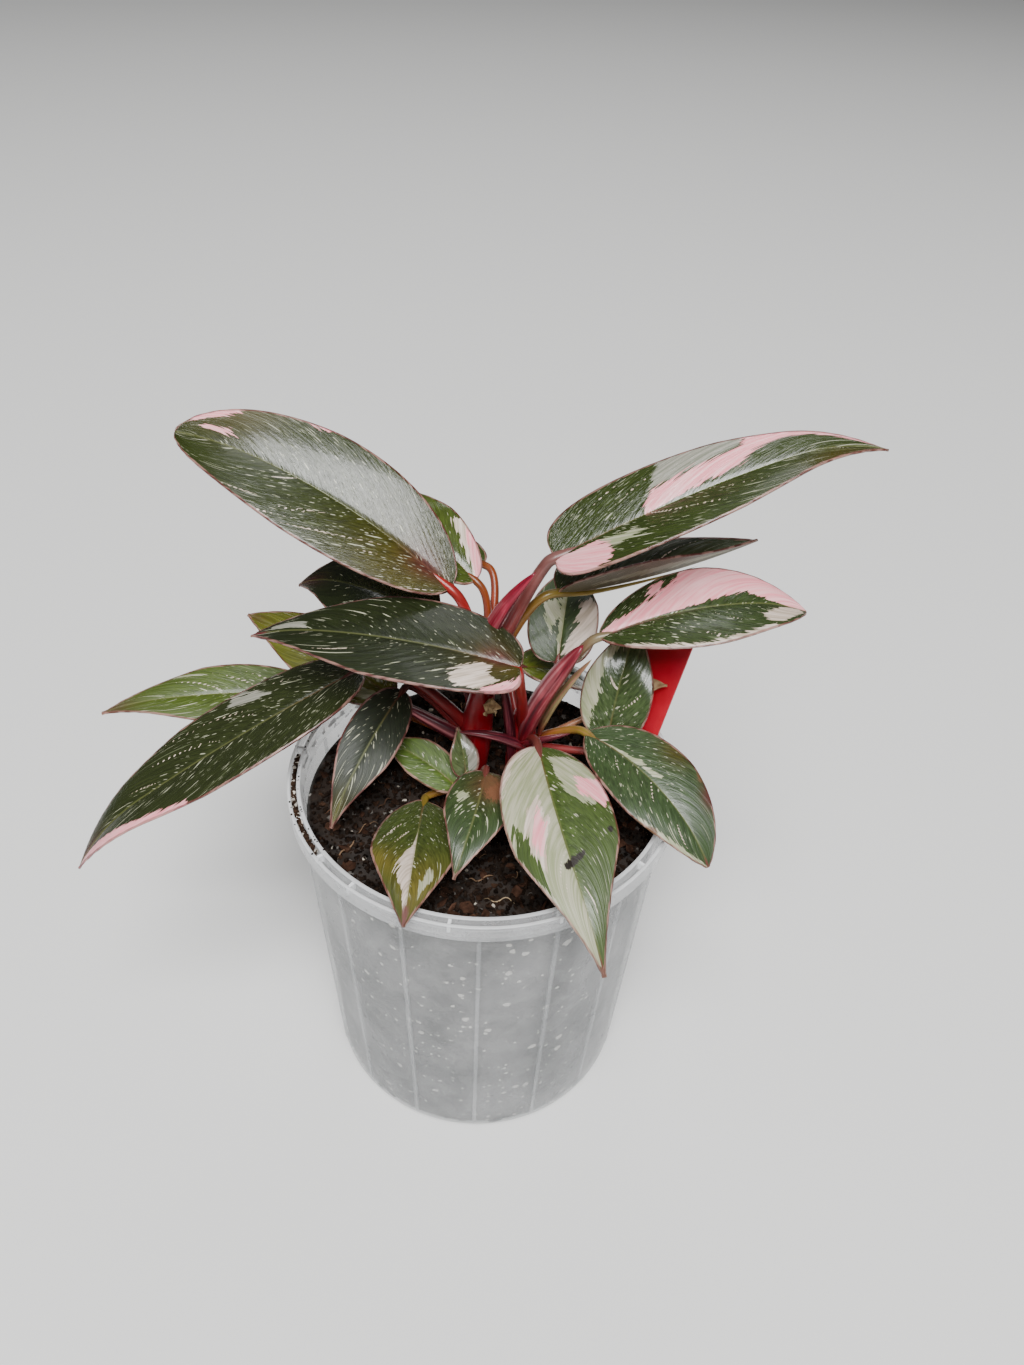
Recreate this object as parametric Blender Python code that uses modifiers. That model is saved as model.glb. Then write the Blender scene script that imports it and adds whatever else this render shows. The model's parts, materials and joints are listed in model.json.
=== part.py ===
"""Pink princess philodendron in a clear nursery pot.

Metres, +Z up. The origin is the centre of the pot's base, on the surface that it stands on.
Sizes and places below are in millimetres, and MM turns them into metres.
"""

import math
from collections import namedtuple

import bmesh
import bpy
from mathutils import Matrix, Vector, geometry, noise

MM = 0.001
UP = Vector((0, 0, 1))
GAP = 0.3
WELD = 0.02

POT_HEIGHT = 124.6
POT_FOOT_RADIUS = 51.5
POT_NECK_RADIUS = 57.2
POT_RIM_RADIUS = 60.0
POT_SIDES = 48
WALL = 1.0
FLOOR = 1.6
FOOT_ROUND = 2.2
FOOT_STEPS = 3
LIP_RADIUS = 56.0
NECK_Z = 117.0
NECK_STEP = 0.4
SKIRT_BOTTOM = 118.7
CHANNEL_FLOOR = 121.6

WEB_COUNT = 12
WEB_FIRST_DEG = -98
GATE_WEBS_DEG = (-142, 38)
WEB_THICKNESS = 0.9
WEB_LOW = 0.7
RIB_COUNT = 16
RIB_WIDTH = 1.3
RIB_PROUD = 0.4
RIB_BOTTOM = 4.0
RIB_TOP = 115.0
DRAIN_COUNT = 8
DRAIN_RADIUS = 3.2
DRAIN_CIRCLE = 38.0
DRAIN_SIDES = 12

SOIL_TOP = 111.5
SOIL_BUMP = 2.2
SOIL_BUMP_SIZE = 15.0
SOIL_RINGS = 7
SOIL_EDGE = 1.0

BLADE_THICKNESS = 0.8
BLADE_ROWS = 12
BLADE_COLUMNS = 4
BASE_HALF_WIDTH = 0.9
TIP_HALF_WIDTH = 0.4
DRIP_START = 0.55
HOOK_START = 0.72
WAVES_DOWN = 9.0
WAVES_ACROSS = 2.0

STALK_STEPS = 7
STALK_SIDES = 8
STALK_FOOT_SHARE = 1.6
STALK_RISE = 0.3
STALK_BEND = 0.2
STALK_NECK = 2.0
STALK_GAP = 0.45
STEM_KNEE = 0.5
STEM_SHOULDER = 0.9
STEM_TOP_SHARE = 0.4
SHEATH_SHARES = (0.5, 0.85, 1.0, 0.8, 0.2)
SHARP_DEG = 35

LABEL_FOOT = Vector((43.5, 6.7, 98))
LABEL_HEAD = Vector((57.5, 26.5, 166))
LABEL_ACROSS = Vector((-0.8, 0.6, 0))
LABEL_WIDTH = 17.0
LABEL_FOOT_WIDTH = 9.0
LABEL_POINT = 8.0
LABEL_THICKNESS = 0.8

# A shoot is its stem, its leaf stalks and its red sheaths, grown together.
Shoot = namedtuple("Shoot", "name foot crown foot_radius crown_radius")
SHOOTS = {
    "left": Shoot("shoot_left", (-7, 12, 97), (0, 14, 152), 5.6, 3.6),
    "right": Shoot("shoot_right", (12, 13, 97), (12, 12, 141), 5.2, 3.6),
    "front": Shoot("shoot_front", (-2, 0, 97), (-2, 0, 118), 3.0, 2.2),
}

# A sheath wraps a young stalk: where it starts and ends, and how wide it is in the middle.
Sheath = namedtuple("Sheath", "shoot start end radius")
SHEATHS = (
    Sheath("left", (1, 13, 150), (11, 10, 190), 1.8),
    Sheath("left", (-9, 11, 126), (-28, 20, 134), 2.8),
    Sheath("right", (13, 11, 128), (28, 15, 160), 3.6),
    Sheath("right", (12, 12, 120), (-3, 6, 133), 2.4),
)

# A leaf blade hangs on its midrib, which runs from base to tip. Arch bends the midrib up in the middle, sway
# bends it to the right as seen from its base, and hook turns its tip down. Roll tips the whole blade over
# to its right, and twist adds to that towards the tip. Fold raises both halves into a V, and cup curls the
# edges up. Belly is where the blade is widest, taper and drip are how fast it narrows to its tip, lobe pulls
# the corners at the base back, and wave is how far the edges wander up and down. Angles are in degrees. The
# stalk leaves its shoot's stem at the height stalk_z.
Leaf = namedtuple(
    "Leaf",
    "name shoot stalk_z base tip width arch sway hook roll twist fold cup belly taper drip lobe wave"
    " stalk_radius",
    defaults=(5, 0, 2, 0, 0, 12, -0.15, 0.42, 0.85, 0.5, 4, 0.4, 1.3),
)

LEAVES = (
    Leaf("leaf_top_left", "left", 140, (-11, 17, 180), (-91, 45, 212), 35, 5, 2, 2, -26, fold=18, belly=0.5,
         taper=0.6, drip=0.1, stalk_radius=1.7),
    Leaf("leaf_top_right", "left", 145, (18, 12, 195), (106, 25, 224), 29, 3, 0, 7, 12, fold=18, belly=0.3,
         drip=0.2, stalk_radius=1.9),
    Leaf("leaf_folded_right", "left", 138, (20, 18, 179), (80, 37, 187), 21, -2.5, 0, 0, -15, fold=44,
         belly=0.35, drip=0.3, stalk_radius=1.5),
    Leaf("leaf_top_back", "left", 142, (-4, 23, 179), (-29, 56, 190), 20, 4, -4, 1, -10, drip=0.3),
    Leaf("leaf_far_back", "left", 148, (-2, 36, 176), (-38, 76, 160), 20, 4, -3, 2, 0),
    Leaf("leaf_dark_left", "left", 130, (-17, 30, 158), (-62, 52, 155), 30, 5, 0, 2, -22),
    Leaf("leaf_long_left", "left", 126, (-38, 15, 151), (-121, -25, 103), 32, 3, 0, 8, 0, belly=0.38,
         taper=0.8, drip=0.3, stalk_radius=1.7),
    Leaf("leaf_low_left", "left", 120, (-53, 28, 129), (-123, 20, 125), 21, 3, 0, 2, -16),
    Leaf("leaf_yellow_left", "left", 122, (-30, 24, 132), (-80, 51, 143), 24, 2, 0, 1, -20, drip=0.3),
    Leaf("leaf_inner_left", "left", 122, (-26, 18, 140), (-45, -20, 118), 17, 6, -1.5, 2, -20),
    Leaf("leaf_mid_left", "right", 128, (9, -8, 172), (-68, 9, 167), 33, 4, 0, 2, -6, belly=0.38, drip=0.3,
         lobe=6, stalk_radius=1.6),
    Leaf("leaf_pink_right", "right", 130, (32, 8, 171), (92, 15, 177), 30, 5, 0, 2, 8, belly=0.5, taper=0.7,
         drip=0.1, lobe=2, stalk_radius=1.5),
    Leaf("leaf_back_right", "right", 130, (22, 22, 150), (27, 54, 162), 22, 5, 0, 2, 0, belly=0.36, drip=0.3),
    Leaf("leaf_low_back", "right", 122, (11, 30, 141), (36, 37, 122), 20, 4, 0, 2, 0),
    Leaf("leaf_side_right", "right", 121, (38, 6, 132), (46, 27, 161), 22, 4, 0, 2, 0, drip=0.2),
    Leaf("leaf_low_right", "right", 122, (31, 4, 137), (65, -35, 122), 27, 6, -1, 2, 8, belly=0.5, taper=0.75,
         drip=0.2, stalk_radius=1.4),
    Leaf("leaf_front", "right", 124, (16, -4, 138), (33, -71, 120), 31, 7, 2.5, 4, 0, drip=0.65,
         stalk_radius=1.5),
    Leaf("leaf_dry", "right", 119, (43, 18, 139), (55.5, 14.5, 148), 9, 1, 0, 1, 0, stalk_radius=1.0),
    Leaf("leaf_small_mid", "front", 116, (0.5, -8, 131), (-7.5, -44, 125), 19, 4, -1.5, 2, 0),
    Leaf("leaf_small_front", "front", 116, (-18, -8, 118), (-20, -61, 126), 25, 2, 0, 2, 0, belly=0.5,
         taper=0.8),
    Leaf("leaf_bright", "front", 116, (-8, -5, 121), (-33, 9, 126), 13, 3, 0, 1, -25),
    Leaf("leaf_bud", "front", 116, (-5.5, -3, 124.5), (-8.5, 6, 136), 9, 2, 0, 0, 0),
)

# Each material: red, green and blue from 0 to 1, roughness, and how much light it stops.
Finish = namedtuple("Finish", "colour roughness alpha", defaults=(1.0,))
FINISHES = {
    "clear_plastic": Finish((0.62, 0.64, 0.66), 0.35, 0.55),
    "soil": Finish((0.035, 0.024, 0.018), 0.95),
    "red_plastic": Finish((0.42, 0.006, 0.012), 0.4),
    "red_stem": Finish((0.19, 0.022, 0.024), 0.4),
    "green_blade": Finish((0.06, 0.10, 0.035), 0.3),
    "yellow_blade": Finish((0.17, 0.24, 0.05), 0.4),
    "pink_blade": Finish((0.45, 0.26, 0.24), 0.35),
    "pale_blade": Finish((0.25, 0.28, 0.16), 0.4),
    "dry_blade": Finish((0.36, 0.25, 0.13), 0.8),
}
BLADE_FINISHES = {
    "leaf_pink_right": "pink_blade",
    "leaf_low_left": "yellow_blade",
    "leaf_yellow_left": "yellow_blade",
    "leaf_bright": "yellow_blade",
    "leaf_back_right": "pale_blade",
    "leaf_front": "pale_blade",
    "leaf_dry": "dry_blade",
}


def clear_scene():
    for obj in list(bpy.data.objects):
        bpy.data.objects.remove(obj, do_unlink=True)


def new_collection(name):
    collection = bpy.data.collections.new(name)
    bpy.context.scene.collection.children.link(collection)
    return collection


def make_material(name, finish):
    material = bpy.data.materials.new(name)
    material.use_nodes = True
    shader = material.node_tree.nodes["Principled BSDF"]
    shader.inputs["Base Color"].default_value = (*finish.colour, 1.0)
    shader.inputs["Roughness"].default_value = finish.roughness
    shader.inputs["Metallic"].default_value = 0.0
    shader.inputs["Alpha"].default_value = finish.alpha
    return material


def new_object(name, data, collection):
    obj = bpy.data.objects.new(name, data)
    collection.objects.link(obj)
    return obj


def evaluated_mesh(obj):
    """The object's mesh with its modifiers applied, or a curve's mesh with its end caps welded on."""
    bpy.context.view_layer.update()
    mesh = bpy.data.meshes.new_from_object(obj.evaluated_get(bpy.context.evaluated_depsgraph_get()))
    bm = bmesh.new()
    bm.from_mesh(mesh)
    bmesh.ops.remove_doubles(bm, verts=bm.verts, dist=WELD * MM)
    bmesh.ops.recalc_face_normals(bm, faces=bm.faces)
    bm.to_mesh(mesh)
    bm.free()
    return mesh


def bake(obj, collection):
    """Replaces the object with a plain mesh object of the same name and place."""
    mesh = evaluated_mesh(obj)
    name, place = obj.name, obj.matrix_world.copy()
    bpy.data.objects.remove(obj, do_unlink=True)
    baked = new_object(name, mesh, collection)
    baked.matrix_world = place
    return baked


def boolean(obj, operation, tools):
    """Cuts or joins every object of the collection tools with obj, then drops them."""
    modifier = obj.modifiers.new(operation.title(), "BOOLEAN")
    modifier.operation = operation
    modifier.operand_type = "COLLECTION"
    modifier.collection = tools
    modifier.solver = "EXACT"
    baked = bake(obj, obj.users_collection[0])
    for tool in list(tools.objects):
        bpy.data.objects.remove(tool, do_unlink=True)
    return baked


def hide_tools(tools):
    for tool in tools.objects:
        tool.hide_render = True
        tool.display_type = "WIRE"


def turned(name, profile, collection):
    """A closed body turned from (radius, height) points that run down its outer side."""
    mesh = bpy.data.meshes.new(name)
    bm = bmesh.new()
    verts = [bm.verts.new((radius * MM, 0, height * MM)) for radius, height in profile]
    for upper, lower in zip(verts, verts[1:]):
        bm.edges.new((upper, lower))
    bm.to_mesh(mesh)
    bm.free()
    obj = new_object(name, mesh, collection)
    screw = obj.modifiers.new("Turn", "SCREW")
    screw.steps = screw.render_steps = POT_SIDES
    screw.use_merge_vertices = True
    screw.merge_threshold = WELD * MM
    return obj


def add_box(name, size, place, collection):
    mesh = bpy.data.meshes.new(name)
    bm = bmesh.new()
    bmesh.ops.create_cube(bm, size=1.0, matrix=Matrix.Diagonal((*(size * MM), 1)))
    bm.to_mesh(mesh)
    bm.free()
    box = new_object(name, mesh, collection)
    box.matrix_world = place
    return box


def wall_radius(height):
    """The pot wall's outer radius below its neck."""
    return POT_FOOT_RADIUS + (POT_NECK_RADIUS - POT_FOOT_RADIUS) * height / NECK_Z


def inner_radius(height):
    """The pot wall's inner radius."""
    floor_radius = wall_radius(FLOOR) - WALL
    return floor_radius + (LIP_RADIUS - floor_radius) * (height - FLOOR) / (POT_HEIGHT - FLOOR)


def pot_profile():
    """Up the inside, over the lip, the channel and the skirt, and down the wall to the rounded foot."""
    skirt_radius = POT_RIM_RADIUS - WALL
    rim = [
        (0, FLOOR),
        (inner_radius(FLOOR), FLOOR),
        (LIP_RADIUS, POT_HEIGHT),
        (POT_NECK_RADIUS, POT_HEIGHT),
        (POT_NECK_RADIUS, CHANNEL_FLOOR),
        (skirt_radius, CHANNEL_FLOOR),
        (skirt_radius, POT_HEIGHT),
        (POT_RIM_RADIUS, POT_HEIGHT),
        (POT_RIM_RADIUS, SKIRT_BOTTOM),
        (skirt_radius, SKIRT_BOTTOM),
        (skirt_radius, CHANNEL_FLOOR - WALL),
        (POT_NECK_RADIUS + NECK_STEP, CHANNEL_FLOOR - WALL),
        (POT_NECK_RADIUS + NECK_STEP, NECK_Z),
        (POT_NECK_RADIUS, NECK_Z),
    ]
    foot = []
    for step in range(FOOT_STEPS + 1):
        angle = math.radians(90 * step / FOOT_STEPS)
        inset = FOOT_ROUND * (1 - math.cos(angle))
        foot.append((wall_radius(FOOT_ROUND) - inset, FOOT_ROUND * (1 - math.sin(angle))))
    return rim + foot + [(0, 0)]


def around(angle_deg, radius, height, lean_deg=0.0):
    """A place on a circle round the pot's axis, with +X pointing out and +Z leaning out with the wall."""
    turn = Matrix.Rotation(math.radians(angle_deg), 4, "Z")
    shift = Matrix.Translation(Vector((radius, 0, height)) * MM)
    return turn @ shift @ Matrix.Rotation(math.radians(lean_deg), 4, "Y")


def build_pot(collection, tools):
    pot = turned("pot", pot_profile(), collection)

    channel = POT_RIM_RADIUS - WALL - POT_NECK_RADIUS
    web_radius = POT_NECK_RADIUS + channel / 2
    web_height = POT_HEIGHT - WEB_LOW - CHANNEL_FLOOR + GAP
    web_size = Vector((channel + WALL, WEB_THICKNESS, web_height))
    web_angles = [WEB_FIRST_DEG + 360 / WEB_COUNT * index for index in range(WEB_COUNT)]
    for angle in web_angles + list(GATE_WEBS_DEG):
        add_box("web", web_size, around(angle, web_radius, CHANNEL_FLOOR - GAP + web_height / 2), tools)

    rib_middle = (RIB_BOTTOM + RIB_TOP) / 2
    lean = math.degrees(math.atan((POT_NECK_RADIUS - POT_FOOT_RADIUS) / NECK_Z))
    for index in range(RIB_COUNT):
        angle = -90 + 360 / RIB_COUNT * index
        size = Vector((RIB_PROUD * 2, RIB_WIDTH, RIB_TOP - RIB_BOTTOM))
        add_box("rib", size, around(angle, wall_radius(rib_middle), rib_middle, lean), tools)
    pot = boolean(pot, "UNION", tools)

    for index in range(DRAIN_COUNT):
        drain = bpy.data.meshes.new("drain")
        bm = bmesh.new()
        bmesh.ops.create_cone(bm, cap_ends=True, segments=DRAIN_SIDES, radius1=DRAIN_RADIUS * MM,
                              radius2=DRAIN_RADIUS * MM, depth=4 * FLOOR * MM)
        bm.to_mesh(drain)
        bm.free()
        cutter = new_object("drain_cutter", drain, tools)
        cutter.matrix_world = around(360 / DRAIN_COUNT * index, DRAIN_CIRCLE, FLOOR / 2)
    hide_tools(tools)
    return boolean(pot, "DIFFERENCE", tools)


def build_soil(collection, tools):
    """The root ball with its bumpy top, and a plain hole for each stem and for the label."""
    bottom = FLOOR + GAP
    top_radius = inner_radius(SOIL_TOP) - GAP
    rings = [(top_radius * ring / SOIL_RINGS, SOIL_TOP) for ring in range(SOIL_RINGS + 1)]
    foot = [(inner_radius(bottom) - GAP, bottom), (0, bottom)]
    soil = bake(turned("soil", rings + foot, collection), collection)
    edge = (top_radius - SOIL_EDGE) * MM
    for vertex in soil.data.vertices:
        if vertex.co.z > (SOIL_TOP - SOIL_EDGE) * MM and vertex.co.xy.length < edge:
            vertex.co.z += SOIL_BUMP * MM * noise.noise(vertex.co / (SOIL_BUMP_SIZE * MM))

    for shoot in SHOOTS.values():
        below = Vector(shoot.foot) - UP * GAP
        above = stem_point(shoot, SOIL_TOP + 2 * SOIL_BUMP)
        radius = shoot.foot_radius + GAP
        add_tube("stem_cutter", [below, above], [radius, radius], tools)
    label_tool = new_object("label_cutter", label_mesh("label_cutter", 2 * GAP), tools)
    label_tool.matrix_world = label_place()
    hide_tools(tools)
    return boolean(soil, "DIFFERENCE", tools)


def label_place():
    """The label's frame: +Y up its middle from its foot, +X across it and +Z through its thickness."""
    up = (LABEL_HEAD - LABEL_FOOT).normalized()
    across = (LABEL_ACROSS - up * LABEL_ACROSS.dot(up)).normalized()
    axes = Matrix((across, up, across.cross(up))).transposed()
    return Matrix.Translation(LABEL_FOOT * MM) @ axes.to_4x4()


def label_mesh(name, clearance):
    """A flat stake with a pointed foot, larger all round by half the clearance."""
    height = (LABEL_HEAD - LABEL_FOOT).length
    side = clearance / 2
    corners = [
        (0, -side),
        (LABEL_FOOT_WIDTH / 2 + side, LABEL_POINT - side),
        (LABEL_WIDTH / 2 + side, height + side),
        (-LABEL_WIDTH / 2 - side, height + side),
        (-LABEL_FOOT_WIDTH / 2 - side, LABEL_POINT - side),
    ]
    curve = bpy.data.curves.new(name, "CURVE")
    curve.dimensions = "2D"
    curve.fill_mode = "BOTH"
    curve.extrude = (LABEL_THICKNESS + clearance) / 2 * MM
    spline = curve.splines.new("POLY")
    spline.points.add(len(corners) - 1)
    for point, (across, up) in zip(spline.points, corners):
        point.co = (across * MM, up * MM, 0, 1)
    spline.use_cyclic_u = True
    guide = new_object(name, curve, bpy.context.scene.collection)
    mesh = evaluated_mesh(guide)
    bpy.data.objects.remove(guide, do_unlink=True)
    return mesh


def build_label(collection):
    label = new_object("label", label_mesh("label", 0), collection)
    label.matrix_world = label_place()
    return label


def outline(leaf, t):
    """Half the blade's width at t, from 0 at the stalk to 1 at the drip tip."""
    rise = leaf.taper * leaf.belly / (1 - leaf.belly)
    share = (t / leaf.belly) ** rise * ((1 - t) / (1 - leaf.belly)) ** leaf.taper
    drawn_in = leaf.drip * max((t - DRIP_START) / (1 - DRIP_START), 0)
    half = leaf.width / 2 * share * (1 - drawn_in)
    return max(half, BASE_HALF_WIDTH * (1 - t) + TIP_HALF_WIDTH * t)


def midrib(leaf, t):
    """The midrib's point at t."""
    base, tip = Vector(leaf.base), Vector(leaf.tip)
    chord = tip - base
    right = chord.cross(UP).normalized()
    above = right.cross(chord).normalized()
    bend = 4 * t * (1 - t)
    droop = t - (max(t - HOOK_START, 0) / (1 - HOOK_START)) ** 2
    return base + chord * t + above * (leaf.arch * bend + leaf.hook * droop) + right * leaf.sway * bend


def blade_axes(leaf, t):
    """(along, right, above) at t: unit vectors of the blade there, rolled and twisted."""
    step = 0.01
    along = (midrib(leaf, min(t + step, 1)) - midrib(leaf, max(t - step, 0))).normalized()
    turn = Matrix.Rotation(math.radians(leaf.roll + leaf.twist * t), 3, along)
    right = turn @ along.cross(UP).normalized()
    return along, right, right.cross(along)


def blade_point(leaf, t, s):
    """A point of the blade: t runs from stalk to tip, and s from -1 at its left edge to 1 at its right."""
    along, right, above = blade_axes(leaf, t)
    half = outline(leaf, t)
    side = abs(s)
    lift = half * (math.tan(math.radians(leaf.fold)) * side + leaf.cup * side**2)
    wave = leaf.wave * math.sin(WAVES_DOWN * t + WAVES_ACROSS * s + leaf.width) * side**2
    back = leaf.lobe * side**2 * (1 - t) ** 2 * (half - BASE_HALF_WIDTH) / (leaf.width / 2)
    return midrib(leaf, t) + right * (half * s) + above * (lift + wave) - along * back


def build_blade(leaf, collection):
    """A thin blade: a grid bent by blade_point, split into triangles and given its thickness."""
    mesh = bpy.data.meshes.new(leaf.name)
    bm = bmesh.new()
    bmesh.ops.create_grid(bm, x_segments=BLADE_ROWS, y_segments=BLADE_COLUMNS, size=1.0)
    base = Vector(leaf.base)
    for vertex in bm.verts:
        t = min(max((vertex.co.x + 1) / 2, 0), 1)
        vertex.co = (blade_point(leaf, t, -vertex.co.y) - base) * MM
    bmesh.ops.triangulate(bm, faces=bm.faces)
    bm.to_mesh(mesh)
    bm.free()
    blade = new_object(leaf.name, mesh, collection)
    blade.location = base * MM
    solidify = blade.modifiers.new("Thickness", "SOLIDIFY")
    solidify.thickness = BLADE_THICKNESS * MM
    solidify.offset = 0
    mesh.shade_smooth()
    return blade


def add_tube(name, points, radii, collection):
    """A closed round tube through the points, with a radius at each."""
    curve = bpy.data.curves.new(name, "CURVE")
    curve.dimensions = "3D"
    curve.bevel_depth = MM
    curve.bevel_resolution = (STALK_SIDES - 4) // 2
    curve.use_fill_caps = True
    spline = curve.splines.new("POLY")
    spline.points.add(len(points) - 1)
    for point, place, radius in zip(spline.points, points, radii):
        point.co = (*(place * MM), 1)
        point.radius = radius
    return bake(new_object(name, curve, collection), collection)


def stem_point(shoot, height):
    """The middle of the shoot's stem at a height."""
    foot, crown = Vector(shoot.foot), Vector(shoot.crown)
    return foot.lerp(crown, (height - foot.z) / (crown.z - foot.z))


def stalk_path(leaf):
    """Points of the stalk, from inside its stem, rising first, to just short of the blade's base."""
    start = stem_point(SHOOTS[leaf.shoot], leaf.stalk_z)
    along = blade_axes(leaf, 0)[0]
    end = Vector(leaf.base) - along * STALK_GAP
    neck = end - along * STALK_NECK
    reach = (neck - start).length
    rise = start.lerp(neck, STALK_RISE / 2) + UP * reach * STALK_RISE / 2
    bend = neck - along * reach * STALK_BEND
    return geometry.interpolate_bezier(start, rise, bend, neck, STALK_STEPS) + [end]


def build_shoot(key, collection, tools):
    """The stem with its stalks and sheaths, joined into one body."""
    shoot = SHOOTS[key]
    foot, crown = Vector(shoot.foot), Vector(shoot.crown)
    radii = [shoot.foot_radius, shoot.foot_radius, shoot.crown_radius, shoot.crown_radius * STEM_TOP_SHARE]
    points = [foot, foot.lerp(crown, STEM_KNEE), foot.lerp(crown, STEM_SHOULDER), crown]
    stem = add_tube(shoot.name, points, radii, collection)
    for leaf in LEAVES:
        if leaf.shoot == key:
            path = stalk_path(leaf)
            last = len(path) - 1
            shares = [1 + (STALK_FOOT_SHARE - 1) * (1 - step / last) ** 2 for step in range(last + 1)]
            add_tube(leaf.name + "_stalk", path, [leaf.stalk_radius * share for share in shares], tools)
    for sheath in SHEATHS:
        if sheath.shoot == key:
            start, end = Vector(sheath.start), Vector(sheath.end)
            last = len(SHEATH_SHARES) - 1
            path = [start.lerp(end, step / last) for step in range(last + 1)]
            add_tube("sheath", path, [sheath.radius * share for share in SHEATH_SHARES], tools)
    return boolean(stem, "UNION", tools)


def finish(obj, material, frame):
    """Gives the object its material and hangs it on the pot's frame, which is at the origin."""
    obj.data.materials.clear()
    obj.data.materials.append(material)
    obj.parent = frame


def main():
    clear_scene()
    plant = new_collection("pink_princess_philodendron")
    tools = new_collection("cutters")
    frame = bpy.data.objects.new("pot_frame", None)
    plant.objects.link(frame)
    materials = {name: make_material(name, values) for name, values in FINISHES.items()}

    finish(build_pot(plant, tools), materials["clear_plastic"], frame)
    finish(build_soil(plant, tools), materials["soil"], frame)
    finish(build_label(plant), materials["red_plastic"], frame)
    for key in SHOOTS:
        finish(build_shoot(key, plant, tools), materials["red_stem"], frame)
    for leaf in LEAVES:
        blade = build_blade(leaf, plant)
        finish(blade, materials[BLADE_FINISHES.get(leaf.name, "green_blade")], frame)
    for obj in plant.objects:
        if obj.name.startswith(("pot", "soil", "shoot")) and obj.type == "MESH":
            obj.data.shade_smooth()
            obj.data.set_sharp_from_angle(angle=math.radians(SHARP_DEG))


main()
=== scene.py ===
"""Dresses the pink princess philodendron in its clear nursery pot.

Metres, +Z up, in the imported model's frame: the origin is the centre of the pot's base, on the surface that it
stands on, and -Y points to the camera. The tables below are in millimetres, and MM turns them into metres.
"""

import json
import math
import random
from collections import namedtuple
from functools import lru_cache, reduce

import bmesh
import bpy
from mathutils import Matrix, Vector, geometry, noise


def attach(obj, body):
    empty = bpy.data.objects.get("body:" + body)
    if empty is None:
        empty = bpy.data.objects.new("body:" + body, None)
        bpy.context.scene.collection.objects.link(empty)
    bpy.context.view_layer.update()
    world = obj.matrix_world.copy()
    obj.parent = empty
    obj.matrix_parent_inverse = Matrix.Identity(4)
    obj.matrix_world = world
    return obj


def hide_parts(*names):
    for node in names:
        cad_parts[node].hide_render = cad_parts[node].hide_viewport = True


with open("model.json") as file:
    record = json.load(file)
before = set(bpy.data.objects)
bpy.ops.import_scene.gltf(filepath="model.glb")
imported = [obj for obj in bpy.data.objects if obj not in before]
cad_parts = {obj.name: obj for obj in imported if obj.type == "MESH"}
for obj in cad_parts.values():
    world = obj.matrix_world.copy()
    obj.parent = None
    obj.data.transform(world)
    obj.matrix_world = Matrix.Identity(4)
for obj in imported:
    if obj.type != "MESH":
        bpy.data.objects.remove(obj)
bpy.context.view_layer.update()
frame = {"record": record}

MM = 0.001
UP = Vector((0, 0, 1))
FACING = Vector((0.05, -0.64, 0.77)).normalized()
WELD = 0.005
SHARP_DEG = 50

# The pot, as its solid has it.
POT_HEIGHT = 124.6
POT_FOOT_RADIUS = 51.5
POT_NECK_RADIUS = 57.2
POT_RIM_RADIUS = 60.0
POT_SIDES = 180
POT_ROUNDING = 0.28
WALL = 1.0
FLOOR = 1.6
FOOT_ROUND = 2.2
LIP_RADIUS = 56.0
NECK_Z = 117.0
NECK_STEP = 0.4
SKIRT_BOTTOM = 118.7
CHANNEL_FLOOR = 121.6
WEB_COUNT = 12
WEB_FIRST_DEG = -98
WEB_WIDTH = 0.9
WEB_BELOW_RIM = 0.7
WEB_SUNK = 0.3
GATE_WEBS_DEG = (-142, 38)
RIB_COUNT = 16
RIB_DEPTH = 0.7
RIB_WIDTH = 1.2
RIB_HEIGHT = 111
RIB_MIDDLE_Z = 59.5
DRAIN_COUNT = 8
DRAIN_RADIUS = 3.2
DRAIN_RING_RADIUS = 38
# How cloudy the plastic is: 1 hides what is behind it.
WALL_HAZE = 0.06
WEB_HAZE = 0.9
RIB_HAZE = 0.12

SOIL_TOP = 111.5
SOIL_BUMP = 2.2
SOIL_BUMP_SIZE = 15.0
SOIL_GAP = 0.3
SOIL_RINGS = 56
SOIL_SIDES = 160

# A blade's mesh and form. Its rib and edge fields reach 1 LINE_REACH from the midrib and the margin.
BLADE_CELL = 0.6
BLADE_THICKNESS = 0.6
BLADE_CROWDING = 1.3
BASE_HALF_WIDTH = 0.9
TIP_HALF_WIDTH = 0.4
DRIP_START = 0.55
HOOK_START = 0.72
WAVES_DOWN = 9.0
WAVES_ACROSS = 2.0
GROOVE_DEPTH = 0.35
GROOVE_WIDTH = 0.8
QUILT_DEPTH = 0.05
QUILT_HALF_WIDTH = 4
VEIN_SWEEP = 0.4
VEIN_BEND = 1.3
VEIN_SPACING = 4.6
FIELD_REACH = 8.0
LINE_REACH = 5
STREAK_SHARPNESS = 0.3
MAP_UNIT = 10
MAP_SHIFT = 7.3

STEM_STEPS = 24
STALK_STEPS = 26
STALK_NECK = 1.6
STALK_SUNK = 0.45
UNDER_BLADE_STEPS = 10
UNDER_BLADE_STEP = 0.07
SHEATH_STEPS = 36
ROOT_STEPS = 14
ROOT_COUNT = 34
CRUMBS_AT_ONCE = 60

LABEL_FOOT = Vector((43.5, 6.7, 98))
LABEL_HEAD = Vector((57.5, 26.5, 166))
LABEL_ACROSS = Vector((-0.8, 0.6, 0))
LABEL_WIDTH = 17.0
LABEL_FOOT_WIDTH = 9.0
LABEL_POINT = 8.0
LABEL_THICKNESS = 0.8

SHRED_MIDDLE = Vector((1.8, 8, 143.5))
SHRED_HALF_WIDTH = 2.6
SHRED_HALF_LENGTH = 3.8

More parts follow.
